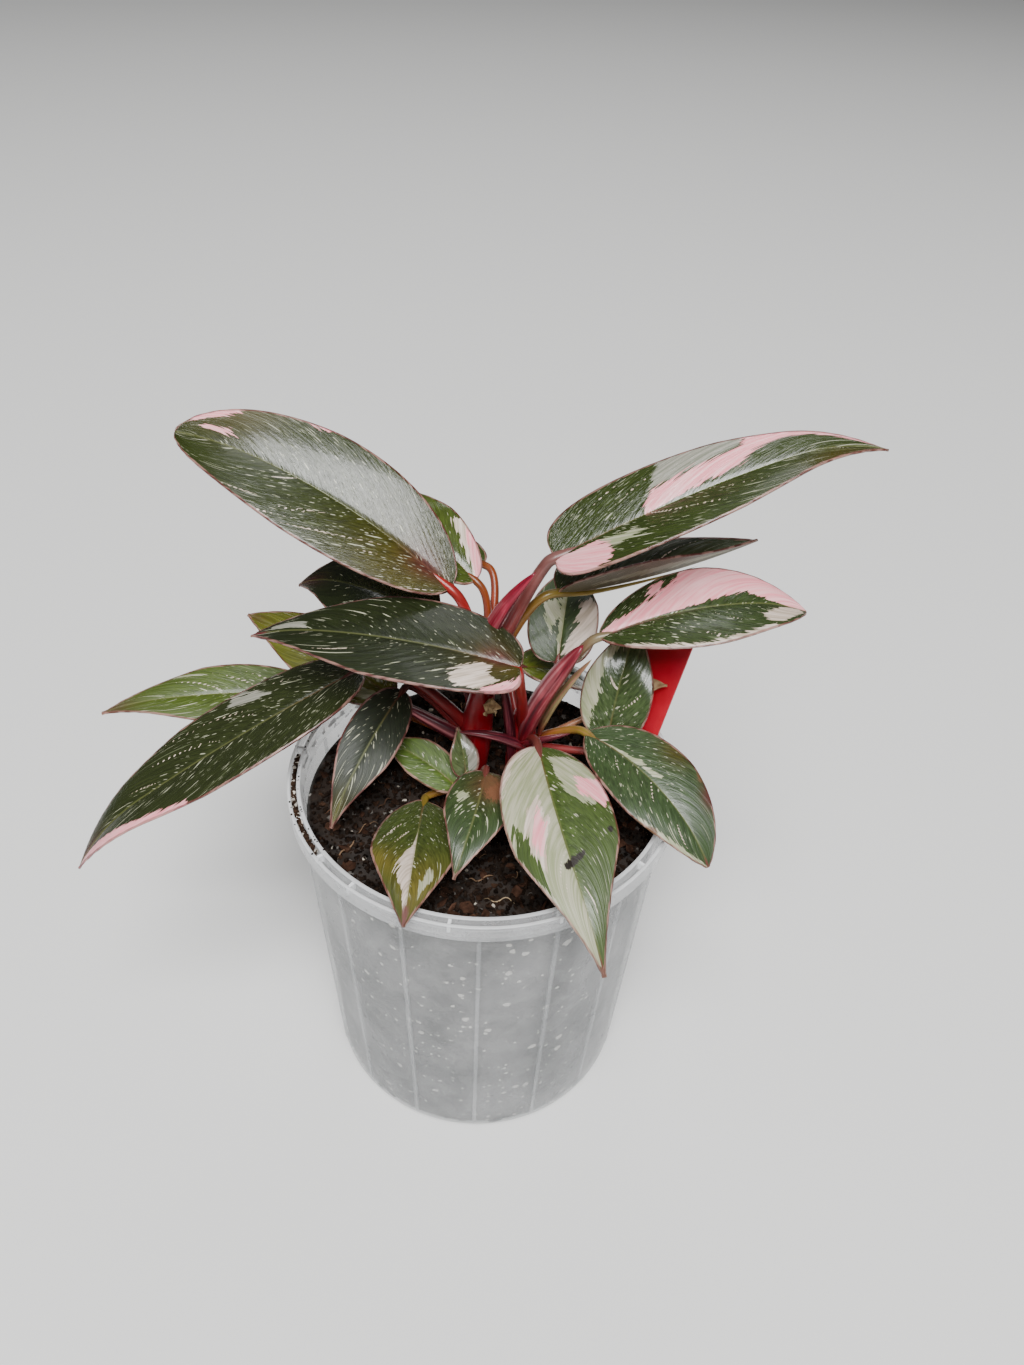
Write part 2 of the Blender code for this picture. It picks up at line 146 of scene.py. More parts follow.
CAMERA_PLACE = Vector((0, -228.5, 353))
CAMERA_DOWN_DEG = 40.2
CAMERA_RIGHT_DEG = 1.85
CAMERA_ROLL_DEG = 2.8
CAMERA_LENS = 27.43
CAMERA_SENSOR = 36
LIT_POINT = Vector((-0.03, 0.01, 0.17))
LIGHT_AWAY = 3.0
ROOM_LIGHT = 0.08

# Colours: red, green and blue, linear.
DEEP_GREEN = (0.036, 0.050, 0.008)
MID_GREEN = (0.055, 0.085, 0.014)
OLIVE = (0.078, 0.066, 0.006)
YOUNG_GREEN = (0.20, 0.25, 0.015)
YELLOW_OLIVE = (0.19, 0.16, 0.03)
BRIGHT_GREEN = (0.095, 0.165, 0.014)
DARK_RED = (0.30, 0.003, 0.010)
BRIGHT_RED = (0.30, 0.016, 0.012)
MAROON = (0.13, 0.012, 0.022)
BROWN_RED = (0.12, 0.032, 0.024)
GREY_RED = (0.17, 0.075, 0.065)
ORANGE = (0.20, 0.05, 0.008)
STALK_OLIVE = (0.20, 0.14, 0.02)
STALK_GREY = (0.19, 0.15, 0.08)
TAN = (0.42, 0.27, 0.13)
NEAR_BLACK = (0.02, 0.015, 0.012)
BROWN = (0.13, 0.065, 0.03)
RUST = (0.17, 0.072, 0.035)
SOIL_BROWN = (0.016, 0.010, 0.007)

# A leaf's stalk leaves its stem at stalk_z, and stalk_bend is how far its bend reaches out behind the blade, as a
# share of its length. stalk_below is how much it meets the blade from below, and not from behind. near_lobe is how
# far the lobe nearer to the camera reaches back, where the two differ.
Leaf = namedtuple(
    "Leaf",
    "name shoot stalk_z base tip width arch sway hook roll twist fold cup belly taper drip lobe wave"
    " stalk_radius stalk_bend stalk_below near_lobe",
    defaults=(5, 0, 2, 0, 0, 12, -0.15, 0.42, 0.85, 0.5, 4, 0.4, 1.3, 0.2, 0, None),
)
LEAVES = (
    Leaf("leaf_top_left", "left", 140, (-11, 17, 180), (-91, 45, 212), 35, 5, 2, 2, -26, fold=18, belly=0.5,
         taper=0.6, drip=0.1, stalk_radius=1.7),
    Leaf("leaf_top_right", "left", 145, (18, 12, 195), (106, 25, 224), 29, 3, 0, 7, 12, fold=18, belly=0.3,
         drip=0.2, stalk_radius=1.9, stalk_bend=0.06),
    Leaf("leaf_folded_right", "left", 138, (20, 18, 179), (80, 37, 187), 21, -2.5, 0, 0, -15, fold=44,
         belly=0.35, drip=0.3, stalk_radius=1.5),
    Leaf("leaf_top_back", "left", 142, (-4, 23, 179), (-29, 56, 190), 20, 4, -4, 1, -10, drip=0.3),
    Leaf("leaf_far_back", "left", 148, (-2, 36, 176), (-38, 76, 160), 20, 4, -3, 2, 0),
    Leaf("leaf_dark_left", "left", 130, (-17, 30, 158), (-62, 52, 155), 30, 5, 0, 2, -22),
    Leaf("leaf_long_left", "left", 126, (-38, 15, 151), (-121, -25, 103), 32, 3, 0, 8, 0, belly=0.38,
         taper=0.8, drip=0.3, stalk_radius=1.7),
    Leaf("leaf_low_left", "left", 120, (-53, 28, 129), (-123, 20, 125), 21, 3, 0, 2, -16),
    Leaf("leaf_yellow_left", "left", 122, (-30, 24, 132), (-80, 51, 143), 24, 2, 0, 1, -20, drip=0.3),
    Leaf("leaf_inner_left", "left", 122, (-26, 18, 140), (-45, -20, 118), 17, 6, -1.5, 2, -20),
    Leaf("leaf_mid_left", "right", 128, (9, -8, 172), (-68, 9, 167), 33, 4, 0, 2, -6, belly=0.38, drip=0.3,
         lobe=6, near_lobe=13, stalk_radius=1.6, stalk_bend=0.15, stalk_below=0.8),
    Leaf("leaf_pink_right", "right", 130, (32, 8, 171), (92, 15, 177), 30, 5, 0, 2, 8, belly=0.5, taper=0.7,
         drip=0.1, lobe=2, stalk_radius=1.5, stalk_bend=0.06),
    Leaf("leaf_back_right", "right", 130, (22, 22, 150), (27, 54, 162), 22, 5, 0, 2, 0, belly=0.36, drip=0.3),
    Leaf("leaf_low_back", "right", 122, (11, 30, 141), (36, 37, 122), 20, 4, 0, 2, 0),
    Leaf("leaf_side_right", "right", 121, (38, 6, 132), (46, 27, 161), 22, 4, 0, 2, 0, drip=0.2),
    Leaf("leaf_low_right", "right", 122, (31, 4, 137), (65, -35, 122), 27, 6, -1, 2, 8, belly=0.5, taper=0.75,
         drip=0.2, stalk_radius=1.4),
    Leaf("leaf_front", "right", 124, (16, -4, 138), (33, -71, 120), 31, 7, 2.5, 4, 0, drip=0.65,
         stalk_radius=1.5),
    Leaf("leaf_dry", "right", 119, (43, 18, 139), (55.5, 14.5, 148), 9, 1, 0, 1, 0, stalk_radius=1.0),
    Leaf("leaf_small_mid", "front", 116, (0.5, -8, 131), (-7.5, -44, 125), 19, 4, -1.5, 2, 0),
    Leaf("leaf_small_front", "front", 116, (-18, -8, 118), (-20, -61, 126), 25, 2, 0, 2, 0, belly=0.5,
         taper=0.8),
    Leaf("leaf_bright", "front", 116, (-8, -5, 121), (-33, 9, 126), 13, 3, 0, 1, -25),
    Leaf("leaf_bud", "front", 116, (-5.5, -3, 124.5), (-8.5, 6, 136), 9, 2, 0, 0, 0),
)

# What a blade's colours are. green is its ground colour, flecks how thickly it is flecked, and gloss how much it
# shines. A patch has a colour and corners on the blade: how far along it, from 0 at its base to 1 at its tip, and
# how far across, from -1 to 1. Pink lies over cream, cream over pale and pale over grey; green takes away the
# patches before it. A streak lies along a side vein: along, across, length and width in millimetres. A stain is a
# soft cloud of colour in the green, and a scar a ragged spot over everything: colour, along, across and radius in
# millimetres.
Paint = namedtuple(
    "Paint", "green flecks patches streaks stains scars gloss", defaults=(DEEP_GREEN, 0.5, (), (), (), (), 1.0)
)
PAINTS = {
    "leaf_top_left": Paint(
        green=DEEP_GREEN, gloss=0.75, flecks=0.85,
        patches=(
            ("pink", (0.83, 0.85), (0.95, 0.72), (0.98, 1.1), (0.84, 1.1)),
            ("pink", (0.81, 0.24), (0.92, 0.36), (0.92, 0.5), (0.84, 0.42)),
            ("pink", (0.57, 0.96), (0.6, 0.9), (0.65, 0.97), (0.62, 1.1), (0.57, 1.1)),
        ),
        streaks=((0.6, -0.9, 7, 1.1), (0.71, -0.84, 5, 1.1), (0.5, -0.47, 7, 1.0), (0.54, -0.62, 4, 0.8),
                 (0.46, -0.74, 6, 1.0), (0.37, -0.56, 6, 1.1), (0.31, -0.42, 6, 1.1), (0.36, -0.75, 4, 0.7),
                 (0.27, -0.55, 4, 0.8), (0.08, -0.85, 6, 1.3), (0.2, -0.62, 3, 0.7), (0.62, -0.15, 6, 0.8)),
        stains=((OLIVE, 0.15, -0.6, 20), (OLIVE, 0.85, 0.9, 12), (BROWN_RED, 0.1, 0.0, 7)),
    ),
    "leaf_top_right": Paint(
        green=(0.042, 0.062, 0.012), flecks=0.8,
        patches=(
            ("grey", (0.32, -0.42), (0.37, -0.8), (0.41, -1.1), (0.64, -1.1), (0.6, -0.72), (0.46, -0.5)),
            ("pink", (0.28, 0.0), (0.46, -0.12), (0.58, -0.25), (0.64, -0.55), (0.72, -0.75), (0.8, -0.85),
             (1.0, -0.55), (1.02, -1.1), (0.8, -1.1), (0.64, -1.0), (0.6, -0.72), (0.46, -0.5), (0.33, -0.4)),
            ("pink", (0.01, 0.15), (0.13, 0.2), (0.17, 0.45), (0.17, 0.85), (0.08, 1.1), (0.0, 0.9)),
            ("pale", (0.14, 0.22), (0.24, 0.3), (0.28, 0.45), (0.2, 0.55), (0.16, 0.5)),
            ("cream", (0.0, 0.25), (0.05, 0.3), (0.05, 0.9), (0.0, 0.9)),
        ),
        streaks=((0.34, 0.2, 6, 1.1), (0.22, -0.78, 3, 1.1), (0.29, -0.6, 4, 0.9), (0.5, 0.15, 7, 0.8),
                 (0.45, 0.45, 4, 0.8), (0.58, 0.35, 5, 0.8), (0.26, 0.4, 6, 0.9), (0.85, 0.1, 5, 0.9)),
        stains=((OLIVE, 0.85, 0.8, 10),),
    ),
    "leaf_folded_right": Paint(
        green=(0.050, 0.075, 0.018), flecks=0.8,
        patches=(
            ("cream", (0.05, -0.9), (0.3, -0.8), (0.3, -1.1), (0.0, -1.1)),
            ("pale", (0.15, 0.25), (0.4, 0.2), (0.85, 0.3), (0.85, 0.6), (0.4, 0.5)),
        ),
        streaks=((0.3, -0.45, 5, 1.0), (0.6, -0.5, 9, 0.9)),
    ),
    "leaf_top_back": Paint(
        green=(0.07, 0.10, 0.014),
        patches=(("cream", (0.0, 0.1), (0.1, 0.4), (0.28, 0.55), (0.45, 0.75), (0.45, 1.1), (0.0, 1.1)),
                 ("pink", (0.0, 0.3), (0.2, 0.65), (0.35, 0.85), (0.3, 1.1), (0.0, 1.1))),
    ),
    "leaf_far_back": Paint(green=MID_GREEN, flecks=0.4),
    "leaf_dark_left": Paint(green=(0.030, 0.042, 0.012), flecks=0.4,
                            stains=((MAROON, 1.0, 0.0, 8),)),
    "leaf_long_left": Paint(
        green=(0.034, 0.044, 0.013), flecks=0.85,
        patches=(
            ("grey", (0.27, 0.55), (0.31, 0.8), (0.38, 0.98), (0.4, 0.75), (0.33, 0.6)),
            ("pink", (0.6, -0.88), (0.75, -0.78), (0.9, -0.4), (0.99, -0.1), (1.0, -1.1), (0.6, -1.1)),
        ),
        streaks=((0.42, 0.6, 6, 0.9), (0.5, 0.3, 5, 0.8), (0.36, 0.35, 5, 0.8), (0.6, 0.5, 6, 0.9),
                 (0.7, 0.25, 5, 0.9), (0.22, 0.7, 5, 0.9), (0.55, 0.8, 4, 0.8)),
        stains=((MAROON, 1.0, 0.0, 9),),
    ),
    "leaf_low_left": Paint(
        green=(0.085, 0.13, 0.012), gloss=0.4, flecks=0.9,
        streaks=((0.4, 0.5, 7, 1.2), (0.55, 0.4, 6, 1.0), (0.3, 0.6, 5, 1.0)),
        stains=((BROWN_RED, 1.0, 0.0, 9), (MID_GREEN, 0.1, 0.0, 18)),
    ),
    "leaf_yellow_left": Paint(
        green=(0.15, 0.16, 0.018), flecks=0.6,
        patches=(("pale", (0.1, -0.3), (0.25, -0.4), (0.25, -0.8), (0.05, -0.7)),),
        stains=((BROWN_RED, 1.0, 0.0, 6),),
    ),
    "leaf_inner_left": Paint(green=(0.018, 0.026, 0.010), flecks=0.8, stains=((OLIVE, 0.95, 0.0, 8),), gloss=0.0),
    "leaf_mid_left": Paint(
        green=(0.018, 0.026, 0.006), gloss=0.5, flecks=0.6,
        patches=(
            ("grey", (0.78, 0.1), (0.92, 0.25), (0.92, 0.6), (0.8, 0.42)),
            ("cream", (0.25, -0.6), (0.13, -0.18), (0.1, -0.28), (0.12, -0.6), (0.09, -0.75), (0.2, -0.95),
             (0.26, -0.85)),
            ("pink", (0.02, -0.8), (0.09, -0.78), (0.17, -0.9), (0.18, -1.1), (0.01, -1.1)),
        ),
        streaks=((0.64, -0.6, 7, 1.2), (0.8, -0.25, 5, 0.9), (0.17, -0.3, 4, 1.2), (0.05, -0.4, 3, 0.9)),
        stains=((OLIVE, 0.03, -0.2, 12), (BROWN_RED, 0.08, 0.05, 5)),
        scars=((MAROON, 1.0, 0.0, 6),),
    ),
    "leaf_pink_right": Paint(
        green=(0.045, 0.070, 0.020), flecks=0.85,
        patches=(
            ("pink", (0.0, 0.0), (0.4, -0.06), (0.57, -0.15), (0.72, -0.3), (0.85, -0.1), (1.0, 0.1),
             (1.0, -1.1), (0.47, -1.1), (0.43, -0.85), (0.33, -0.62), (0.25, -0.47), (0.12, -0.4), (0.0, -0.5)),
            ("pink", (0.26, -0.55), (0.3, -0.85), (0.36, -0.9), (0.34, -0.55)),
            ("cream", (0.76, 0.45), (0.86, 0.15), (0.96, 0.1), (0.98, 0.6), (0.84, 0.88), (0.78, 0.75)),
            ("cream", (0.12, 0.88), (0.45, 0.92), (0.8, 0.88), (0.8, 1.1), (0.12, 1.1)),
        ),
        streaks=((0.5, 0.75, 5, 1.0), (0.3, 0.3, 7, 0.8), (0.6, 0.4, 6, 0.8)),
    ),
    "leaf_back_right": Paint(
        green=(0.045, 0.078, 0.018), flecks=0.5,
        patches=(
            ("pale", (0.15, -0.3), (0.3, -0.45), (0.5, -0.65), (0.55, -0.2), (0.4, -0.1), (0.3, -0.25)),
            ("pale", (0.05, -0.1), (0.65, -0.14), (0.65, 0.02), (0.05, 0.02)),
            ("cream", (0.05, 0.1), (0.3, 0.4), (0.55, 0.45), (0.6, 0.9), (0.4, 1.1), (0.1, 0.9)),
        ),
        gloss=0.2,
    ),
    "leaf_low_back": Paint(
        green=(0.05, 0.08, 0.02), flecks=0.4,
        patches=(("cream", (0.2, 0.75), (0.6, 0.8), (0.6, 1.1), (0.2, 1.1)),),
        stains=((YOUNG_GREEN, 0.0, 0.3, 10),),
    ),
    "leaf_side_right": Paint(
        green=(0.075, 0.115, 0.040), flecks=0.75,
        patches=(("pale", (0.15, -0.78), (0.35, -0.45), (0.6, -0.6), (0.85, -0.5), (0.95, -1.1), (0.1, -1.1)),),
        streaks=((0.4, 0.5, 8, 0.9), (0.5, -0.2, 8, 1.0)),
    ),
    "leaf_low_right": Paint(
        green=(0.052, 0.090, 0.030), flecks=0.9,
        patches=(("pale", (0.08, -0.03), (0.3, -0.03), (0.46, -0.1), (0.5, -0.2), (0.3, -0.13)),
                 ("pale", (0.6, 0.9), (0.9, 0.75), (1.0, 0.3), (1.0, 1.1), (0.6, 1.1))),
        streaks=((0.52, 0.2, 6, 0.9), (0.3, 0.4, 5, 0.8), (0.8, 0.45, 5, 1.2)),
        stains=((OLIVE, 0.45, -0.95, 5), (BROWN_RED, 0.72, -0.95, 3)),
        scars=((BROWN_RED, 1.02, 0.0, 4), (BROWN, 0.7, 0.98, 2.0), (BROWN, 0.62, -1.0, 1.6)),
        gloss=0.35,
    ),
    "leaf_front": Paint(
        green=(0.075, 0.120, 0.024), flecks=0.75,
        patches=(
            ("pale", (0.0, 0.03), (0.85, 0.02), (0.97, 0.2), (0.95, 1.1), (0.0, 1.1)),
            ("cream", (0.28, 0.3), (0.42, 0.18), (0.55, 0.42), (0.62, 0.6), (0.5, 0.7), (0.38, 0.6)),
            ("cream", (0.0, 0.55), (0.12, 0.8), (0.3, 0.95), (0.3, 1.1), (0.0, 1.1)),
            ("pink", (0.34, 0.32), (0.42, 0.26), (0.56, 0.48), (0.54, 0.6), (0.42, 0.52)),
            ("green", (0.42, 0.85), (0.48, 0.68), (0.62, 0.66), (0.72, 0.85), (0.6, 1.02)),
            ("pale", (0.08, -0.3), (0.2, -0.2), (0.3, -0.3), (0.38, -0.7), (0.33, -1.1), (0.18, -1.1),
             (0.1, -0.75)),
            ("pink", (0.22, -0.6), (0.3, -0.5), (0.4, -0.85), (0.36, -1.1), (0.28, -1.1)),
        ),
        streaks=((0.6, 0.25, 8, 1.0), (0.7, 0.4, 6, 0.9), (0.75, -0.3, 6, 0.9)),
        scars=((BROWN_RED, 1.02, 0.0, 7), (NEAR_BLACK, 0.605, 0.12, 1.3), (NEAR_BLACK, 0.595, 0.02, 1.5),
               (NEAR_BLACK, 0.585, -0.08, 1.5), (NEAR_BLACK, 0.575, -0.18, 1.3), (NEAR_BLACK, 0.565, -0.27, 0.9),
               (NEAR_BLACK, 0.5, -0.85, 1.1)),
        gloss=0.45,
    ),
    "leaf_small_mid": Paint(
        green=(0.045, 0.080, 0.022), flecks=0.9,
        patches=(("pale", (0.3, 0.4), (0.36, 0.3), (0.42, 0.6), (0.34, 0.75)),),
        stains=((BROWN, 0.18, -0.3, 7),),
        scars=((RUST, 0.26, -0.55, 4.5), (BROWN, 0.14, -0.25, 4)),
        gloss=0.3,
    ),
    "leaf_small_front": Paint(
        green=(0.066, 0.094, 0.020), flecks=0.8,
        patches=(
            ("cream", (0.3, 0.0), (0.45, 0.06), (0.6, 0.3), (0.7, 0.5), (0.8, 0.3), (0.95, 0.3), (0.95, -0.05),
             (0.65, -0.02)),
            ("pale", (0.64, -0.45), (0.72, -0.75), (0.84, -0.6), (0.8, -0.4)),
        ),
        streaks=((0.35, 0.6, 5, 1.6), (0.4, 0.35, 4, 1.2)),
        stains=((YELLOW_OLIVE, 0.8, -0.3, 11), (YELLOW_OLIVE, 0.62, 0.8, 6)),
        scars=((GREY_RED, 1.0, 0.0, 7),),
        gloss=0.5,
    ),
    "leaf_bright": Paint(green=BRIGHT_GREEN, flecks=1.4, gloss=0.0),
    "leaf_bud": Paint(green=(0.12, 0.16, 0.06), flecks=1.0,
                      patches=(("grey", (0.1, 0.3), (0.5, 0.2), (0.9, 0.3), (0.9, 1.1), (0.1, 1.1)),)),
}

# Each stalk's colour where it meets its blade; at the stem they are all red.
STALK_COLOURS = {
    "leaf_top_left": BRIGHT_RED,
    "leaf_top_right": GREY_RED,
    "leaf_folded_right": STALK_OLIVE,
    "leaf_top_back": ORANGE,
    "leaf_far_back": ORANGE,
    "leaf_low_left": STALK_OLIVE,
    "leaf_mid_left": BRIGHT_RED,
    "leaf_pink_right": STALK_GREY,
    "leaf_low_right": STALK_OLIVE,
    "leaf_front": BROWN_RED,
    "leaf_dry": TAN,
    "leaf_small_front": STALK_OLIVE,
    "leaf_bright": YOUNG_GREEN,
    "leaf_bud": STALK_OLIVE,
}

Shoot = namedtuple("Shoot", "name foot crown foot_radius crown_radius")
SHOOTS = {
    "left": Shoot("shoot_left", (-7, 12, 97), (0, 14, 152), 5.6, 3.6),
    "right": Shoot("shoot_right", (12, 13, 97), (12, 12, 141), 5.2, 3.6),
    "front": Shoot("shoot_front", (-2, 0, 97), (-2, 0, 118), 3.0, 2.2),
}

# A sheath wraps a young stalk. It runs from its start to its end, drawn towards a knee, and its radius is the
# widest, flat how deep it is for its width, and blunt how late it narrows to its end. A stripe lies along it: how
# far round it is from the side that faces the camera, in degrees clockwise seen from its end, how wide it is in
# degrees, and its colour.
Sheath = namedtuple("Sheath", "shoot start knee end radius flat blunt colour stripes")
PINK_STRIPE = (0.55, 0.20, 0.22)
DARK_STRIPE = (0.035, 0.005, 0.010)
SHEATHS = (
    Sheath("left", (0, 13, 148), (-5, 8, 172), (12.5, 4, 195.5), 3.2, 0.7, 2.5, (0.26, 0.006, 0.026),
           ((-4, 12, DARK_STRIPE), (24, 16, (0.60, 0.30, 0.32)), (-40, 10, (0.42, 0.02, 0.06)))),
    Sheath("left", (-5, 11, 126), (-12, 8, 133), (-29, 15, 138.5), 3.3, 0.65, 3.0, (0.11, 0.014, 0.024),
           ((-40, 16, PINK_STRIPE), (0, 16, DARK_STRIPE), (45, 14, PINK_STRIPE))),
    Sheath("right", (12, 10, 128), (14, 4, 150), (27.5, 5.5, 170), 4.0, 0.75, 5.0, (0.19, 0.012, 0.024),
           ((-55, 12, PINK_STRIPE), (-25, 10, DARK_STRIPE), (8, 9, (0.36, 0.08, 0.09)), (38, 12, DARK_STRIPE),
            (70, 14, (0.30, 0.06, 0.07)))),
    Sheath("right", (17, 9, 132), (18, 6, 146), (30.5, 6.5, 164), 2.4, 0.5, 3.0, (0.26, 0.20, 0.09),
           ((60, 14, (0.42, 0.33, 0.18)),)),
    Sheath("right", (12, 8, 126), (6, 2, 138), (-8, 3.5, 136.5), 2.5, 0.7, 2.5, (0.13, 0.012, 0.024),
           ((-30, 14, PINK_STRIPE), (15, 16, DARK_STRIPE))),
    Sheath("right", (12, 6, 130), (16, 0, 137), (26, 2, 138.5), 1.7, 0.7, 2.5, (0.11, 0.014, 0.022),
           ((-35, 16, (0.30, 0.09, 0.10)),)),
    Sheath("right", (9, 11, 112), (8.5, 8, 136), (4.5, 6, 156), 2.2, 0.8, 4.0, (0.060, 0.006, 0.014),
           ((-20, 16, (0.20, 0.03, 0.05)), (40, 14, DARK_STRIPE))),
)


# --- Shading ---------------------------------------------------------------


class Tree:
    """A node tree, with short calls for the nodes that the materials use again and again."""

    def __init__(self, tree):
        self.tree = tree

    def give(self, socket, value):
        """Gives a socket a value or another node's output."""
        if isinstance(value, bpy.types.NodeSocket):
            self.tree.links.new(value, socket)
        else:
            socket.default_value = value

    def add(self, kind, inputs=None, **settings):
        """A new shader node's outputs."""
        node = self.tree.nodes.new("ShaderNode" + kind)
        for name, value in settings.items():
            setattr(node, name, value)
        for socket, value in (inputs or {}).items():
            self.give(node.inputs[socket], value)
        return node.outputs

    def attribute(self, name):
        return self.add("Attribute", attribute_name=name)

    def place(self):
        return self.add("TexCoord")["Object"]

    def maths(self, operation, *values):
        return self.add("Math", dict(enumerate(values)), operation=operation)[0]

    def plus(self, *values):
        return reduce(lambda first, second: self.maths("ADD", first, second), values)

    def times(self, *values):
        return reduce(lambda first, second: self.maths("MULTIPLY", first, second), values)

    def minus(self, first, second):
        return self.maths("SUBTRACT", first, second)

    def scaled(self, value, by, more):
        """The value times by, plus more."""
        return self.maths("MULTIPLY_ADD", value, by, more)

    def ramp(self, value, low, high):
        """0 below low and 1 above high, with a smooth step between."""
        inputs = {"Value": value, "From Min": low, "From Max": high}
        return self.add("MapRange", inputs, interpolation_type="SMOOTHSTEP")[0]

    def mixed(self, share, first, second, blend="MIX"):
        """The first colour with a share of the second over it."""
        first, second = ((*colour, 1.0) if isinstance(colour, tuple) else colour for colour in (first, second))
        return self.add("Mix", {0: share, 6: first, 7: second}, data_type="RGBA", blend_type=blend)[2]

    def grain(self, vector, stretch, detail=2.0, shift=0.0):
        """Noise over the vector, stretched. A number stretches it evenly."""
        stretch = stretch if isinstance(stretch, tuple) else (stretch,) * 3
        inputs = {"Vector": vector, "Scale": stretch, "Location": (shift, shift * 1.7, shift * 0.6)}
        return self.add("TexNoise", {"Vector": self.add("Mapping", inputs)[0], "Scale": 1.0, "Detail": detail})[0]

    def dots(self, vector, stretch, dense, least=0.12, spread=0.2):
        """Scattered dots, drawn out where the stretch is small: dense is the share of places that have one."""
        stretch = stretch if isinstance(stretch, tuple) else (stretch,) * 3
        place = self.add("Mapping", {"Vector": vector, "Scale": stretch})[0]
        wobble = self.add("TexNoise", {"Vector": place, "Scale": 3.0, "Detail": 1.0})["Color"]
        wobble = self.add("VectorMath", {0: wobble, "Scale": 0.35}, operation="SCALE")[0]
        place = self.add("VectorMath", {0: place, 1: wobble}, operation="ADD")[0]
        cells = self.add("TexVoronoi", {"Vector": place, "Scale": 1.0})
        chance = self.add("SeparateColor", {0: cells["Color"]})
        inside = self.ramp(self.minus(self.scaled(chance[1], spread, least), cells["Distance"]), 0.0, 0.10)
        return self.times(inside, self.maths("LESS_THAN", chance[0], dense))

    def bumped(self, height, depth):
        """A normal from a height, depth millimetres deep."""
        return self.add("Bump", {"Height": height, "Distance": depth * MM})[0]


class Look(Tree):
    """A new material's tree."""

    def __init__(self, name):
        self.material = bpy.data.materials.new(name)
        self.material.use_nodes = True
        super().__init__(self.material.node_tree)

    def shaded(self, **sockets):
        """The material, with its shader's sockets given."""
        shader = self.tree.nodes["Principled BSDF"]
        for name, value in sockets.items():
            self.give(shader.inputs[name.replace("_", " ")], value)
        return self.material


def new_group(name, inputs, output, kind):
    """An empty node group: its tree, its inputs as they show inside it, and the socket for what it puts out."""
    group = bpy.data.node_groups.new(name, "ShaderNodeTree")
    for socket, its_kind in inputs.items():
        group.interface.new_socket(socket, in_out="INPUT", socket_type="NodeSocket" + its_kind)
    group.interface.new_socket(output, in_out="OUTPUT", socket_type="NodeSocket" + kind)
    given, made = group.nodes.new("NodeGroupInput"), group.nodes.new("NodeGroupOutput")
    return Tree(group), given.outputs, made.inputs[0]


def marbling_group():
    """A blade's colour: its mottled ground, then flecks, and grey, pale, cream and pink patches with frayed edges."""
    fields = dict.fromkeys(("Pink", "Cream", "Pale", "Grey", "Flecks", "Rib"), "Float")
    tree, given, made = new_group("marbling", {"Veins": "Vector", "Ground": "Color", **fields}, "Color", "Color")
    veins = given["Veins"]
    coarse = tree.minus(tree.grain(veins, (4.5, 1.7, 1), 3.0), 0.5)
    fine = tree.minus(tree.grain(veins, (13, 5, 1), 2.0, 5.0), 0.5)
    fray = tree.plus(tree.times(coarse, 0.6), tree.times(fine, 0.4))
    fray = tree.times(fray, tree.ramp(given["Rib"], 0.05, 0.5))

    depth = tree.add("MapRange", {"Value": tree.grain(veins, (9, 7, 1), 4.0, 9.0), "From Min": 0.3, "From Max": 0.7,
                                  "To Min": 0.40, "To Max": 0.92})[0]
    depth = tree.add("CombineColor", {0: depth, 1: depth, 2: depth})[0]
    colour = tree.mixed(1.0, given["Ground"], depth, "MULTIPLY")
    clouds = tree.ramp(tree.grain(veins, (1.4, 1.0, 1), 2.0, 2.0), 0.3, 0.65)
    dense = tree.times(given["Flecks"], tree.scaled(clouds, 0.6, 0.4))
    lighter, white = tree.mixed(0.5, given["Ground"], (0.30, 0.34, 0.20)), (0.52, 0.52, 0.38)
    for stretch, share, cover, fleck in (
        ((3.6, 2.0, 1), 0.3, 0.45, lighter),
        ((11, 9, 1), 0.6, 0.6, white),
        ((8.0, 6.5, 1), 0.5, 0.75, white),
        ((5.5, 3.6, 1), 0.4, 0.85, white),
        ((3.3, 1.7, 1), 0.10, 0.95, white),
    ):
        dotted = tree.dots(veins, stretch, tree.times(dense, share))
        colour = tree.mixed(tree.times(dotted, cover), colour, fleck)
    for name, first, second in (
        ("Grey", (0.20, 0.21, 0.16), (0.36, 0.34, 0.29)),
        ("Pale", (0.28, 0.31, 0.17), (0.46, 0.45, 0.32)),
        ("Cream", (0.48, 0.39, 0.30), (0.74, 0.62, 0.53)),
        ("Pink", (0.90, 0.30, 0.35), (0.95, 0.50, 0.52)),
    ):
        patch = tree.mixed(tree.ramp(tree.grain(veins, (6, 1.6, 1), 3.0, 4.0), 0.35, 0.65), first, second)
        colour = tree.mixed(tree.ramp(tree.plus(given[name], fray), 0.485, 0.515), colour, patch)
    tree.give(made, colour)
    return tree.tree


def blade_lines_group():
    """Lays the midrib's and the margin's colour over a blade's."""
    inputs = {"Color": "Color", "Rib": "Float", "Edge": "Float", "Along": "Float", "Veins": "Vector"}
    tree, given, made = new_group("blade lines", inputs, "Color", "Color")
    wander = tree.grain(given["Veins"], (3, 3, 1), 2.0, 4.0)
    near_rib = tree.times(tree.ramp(given["Rib"], 0.12, 0.03), 0.4)
    rib_colour = tree.mixed(tree.ramp(given["Along"], 0.0, 0.35), (0.20, 0.05, 0.035), (0.17, 0.18, 0.06))
    colour = tree.mixed(near_rib, given["Color"], rib_colour)
    near_edge = tree.ramp(tree.minus(given["Edge"], tree.times(wander, 0.16)), 0.05, 0.0)
    edge_colour = tree.mixed(tree.ramp(wander, 0.42, 0.58), (0.12, 0.03, 0.028), (0.36, 0.19, 0.16))
    tree.give(made, tree.mixed(tree.times(near_edge, 0.8), colour, edge_colour))
    return tree.tree


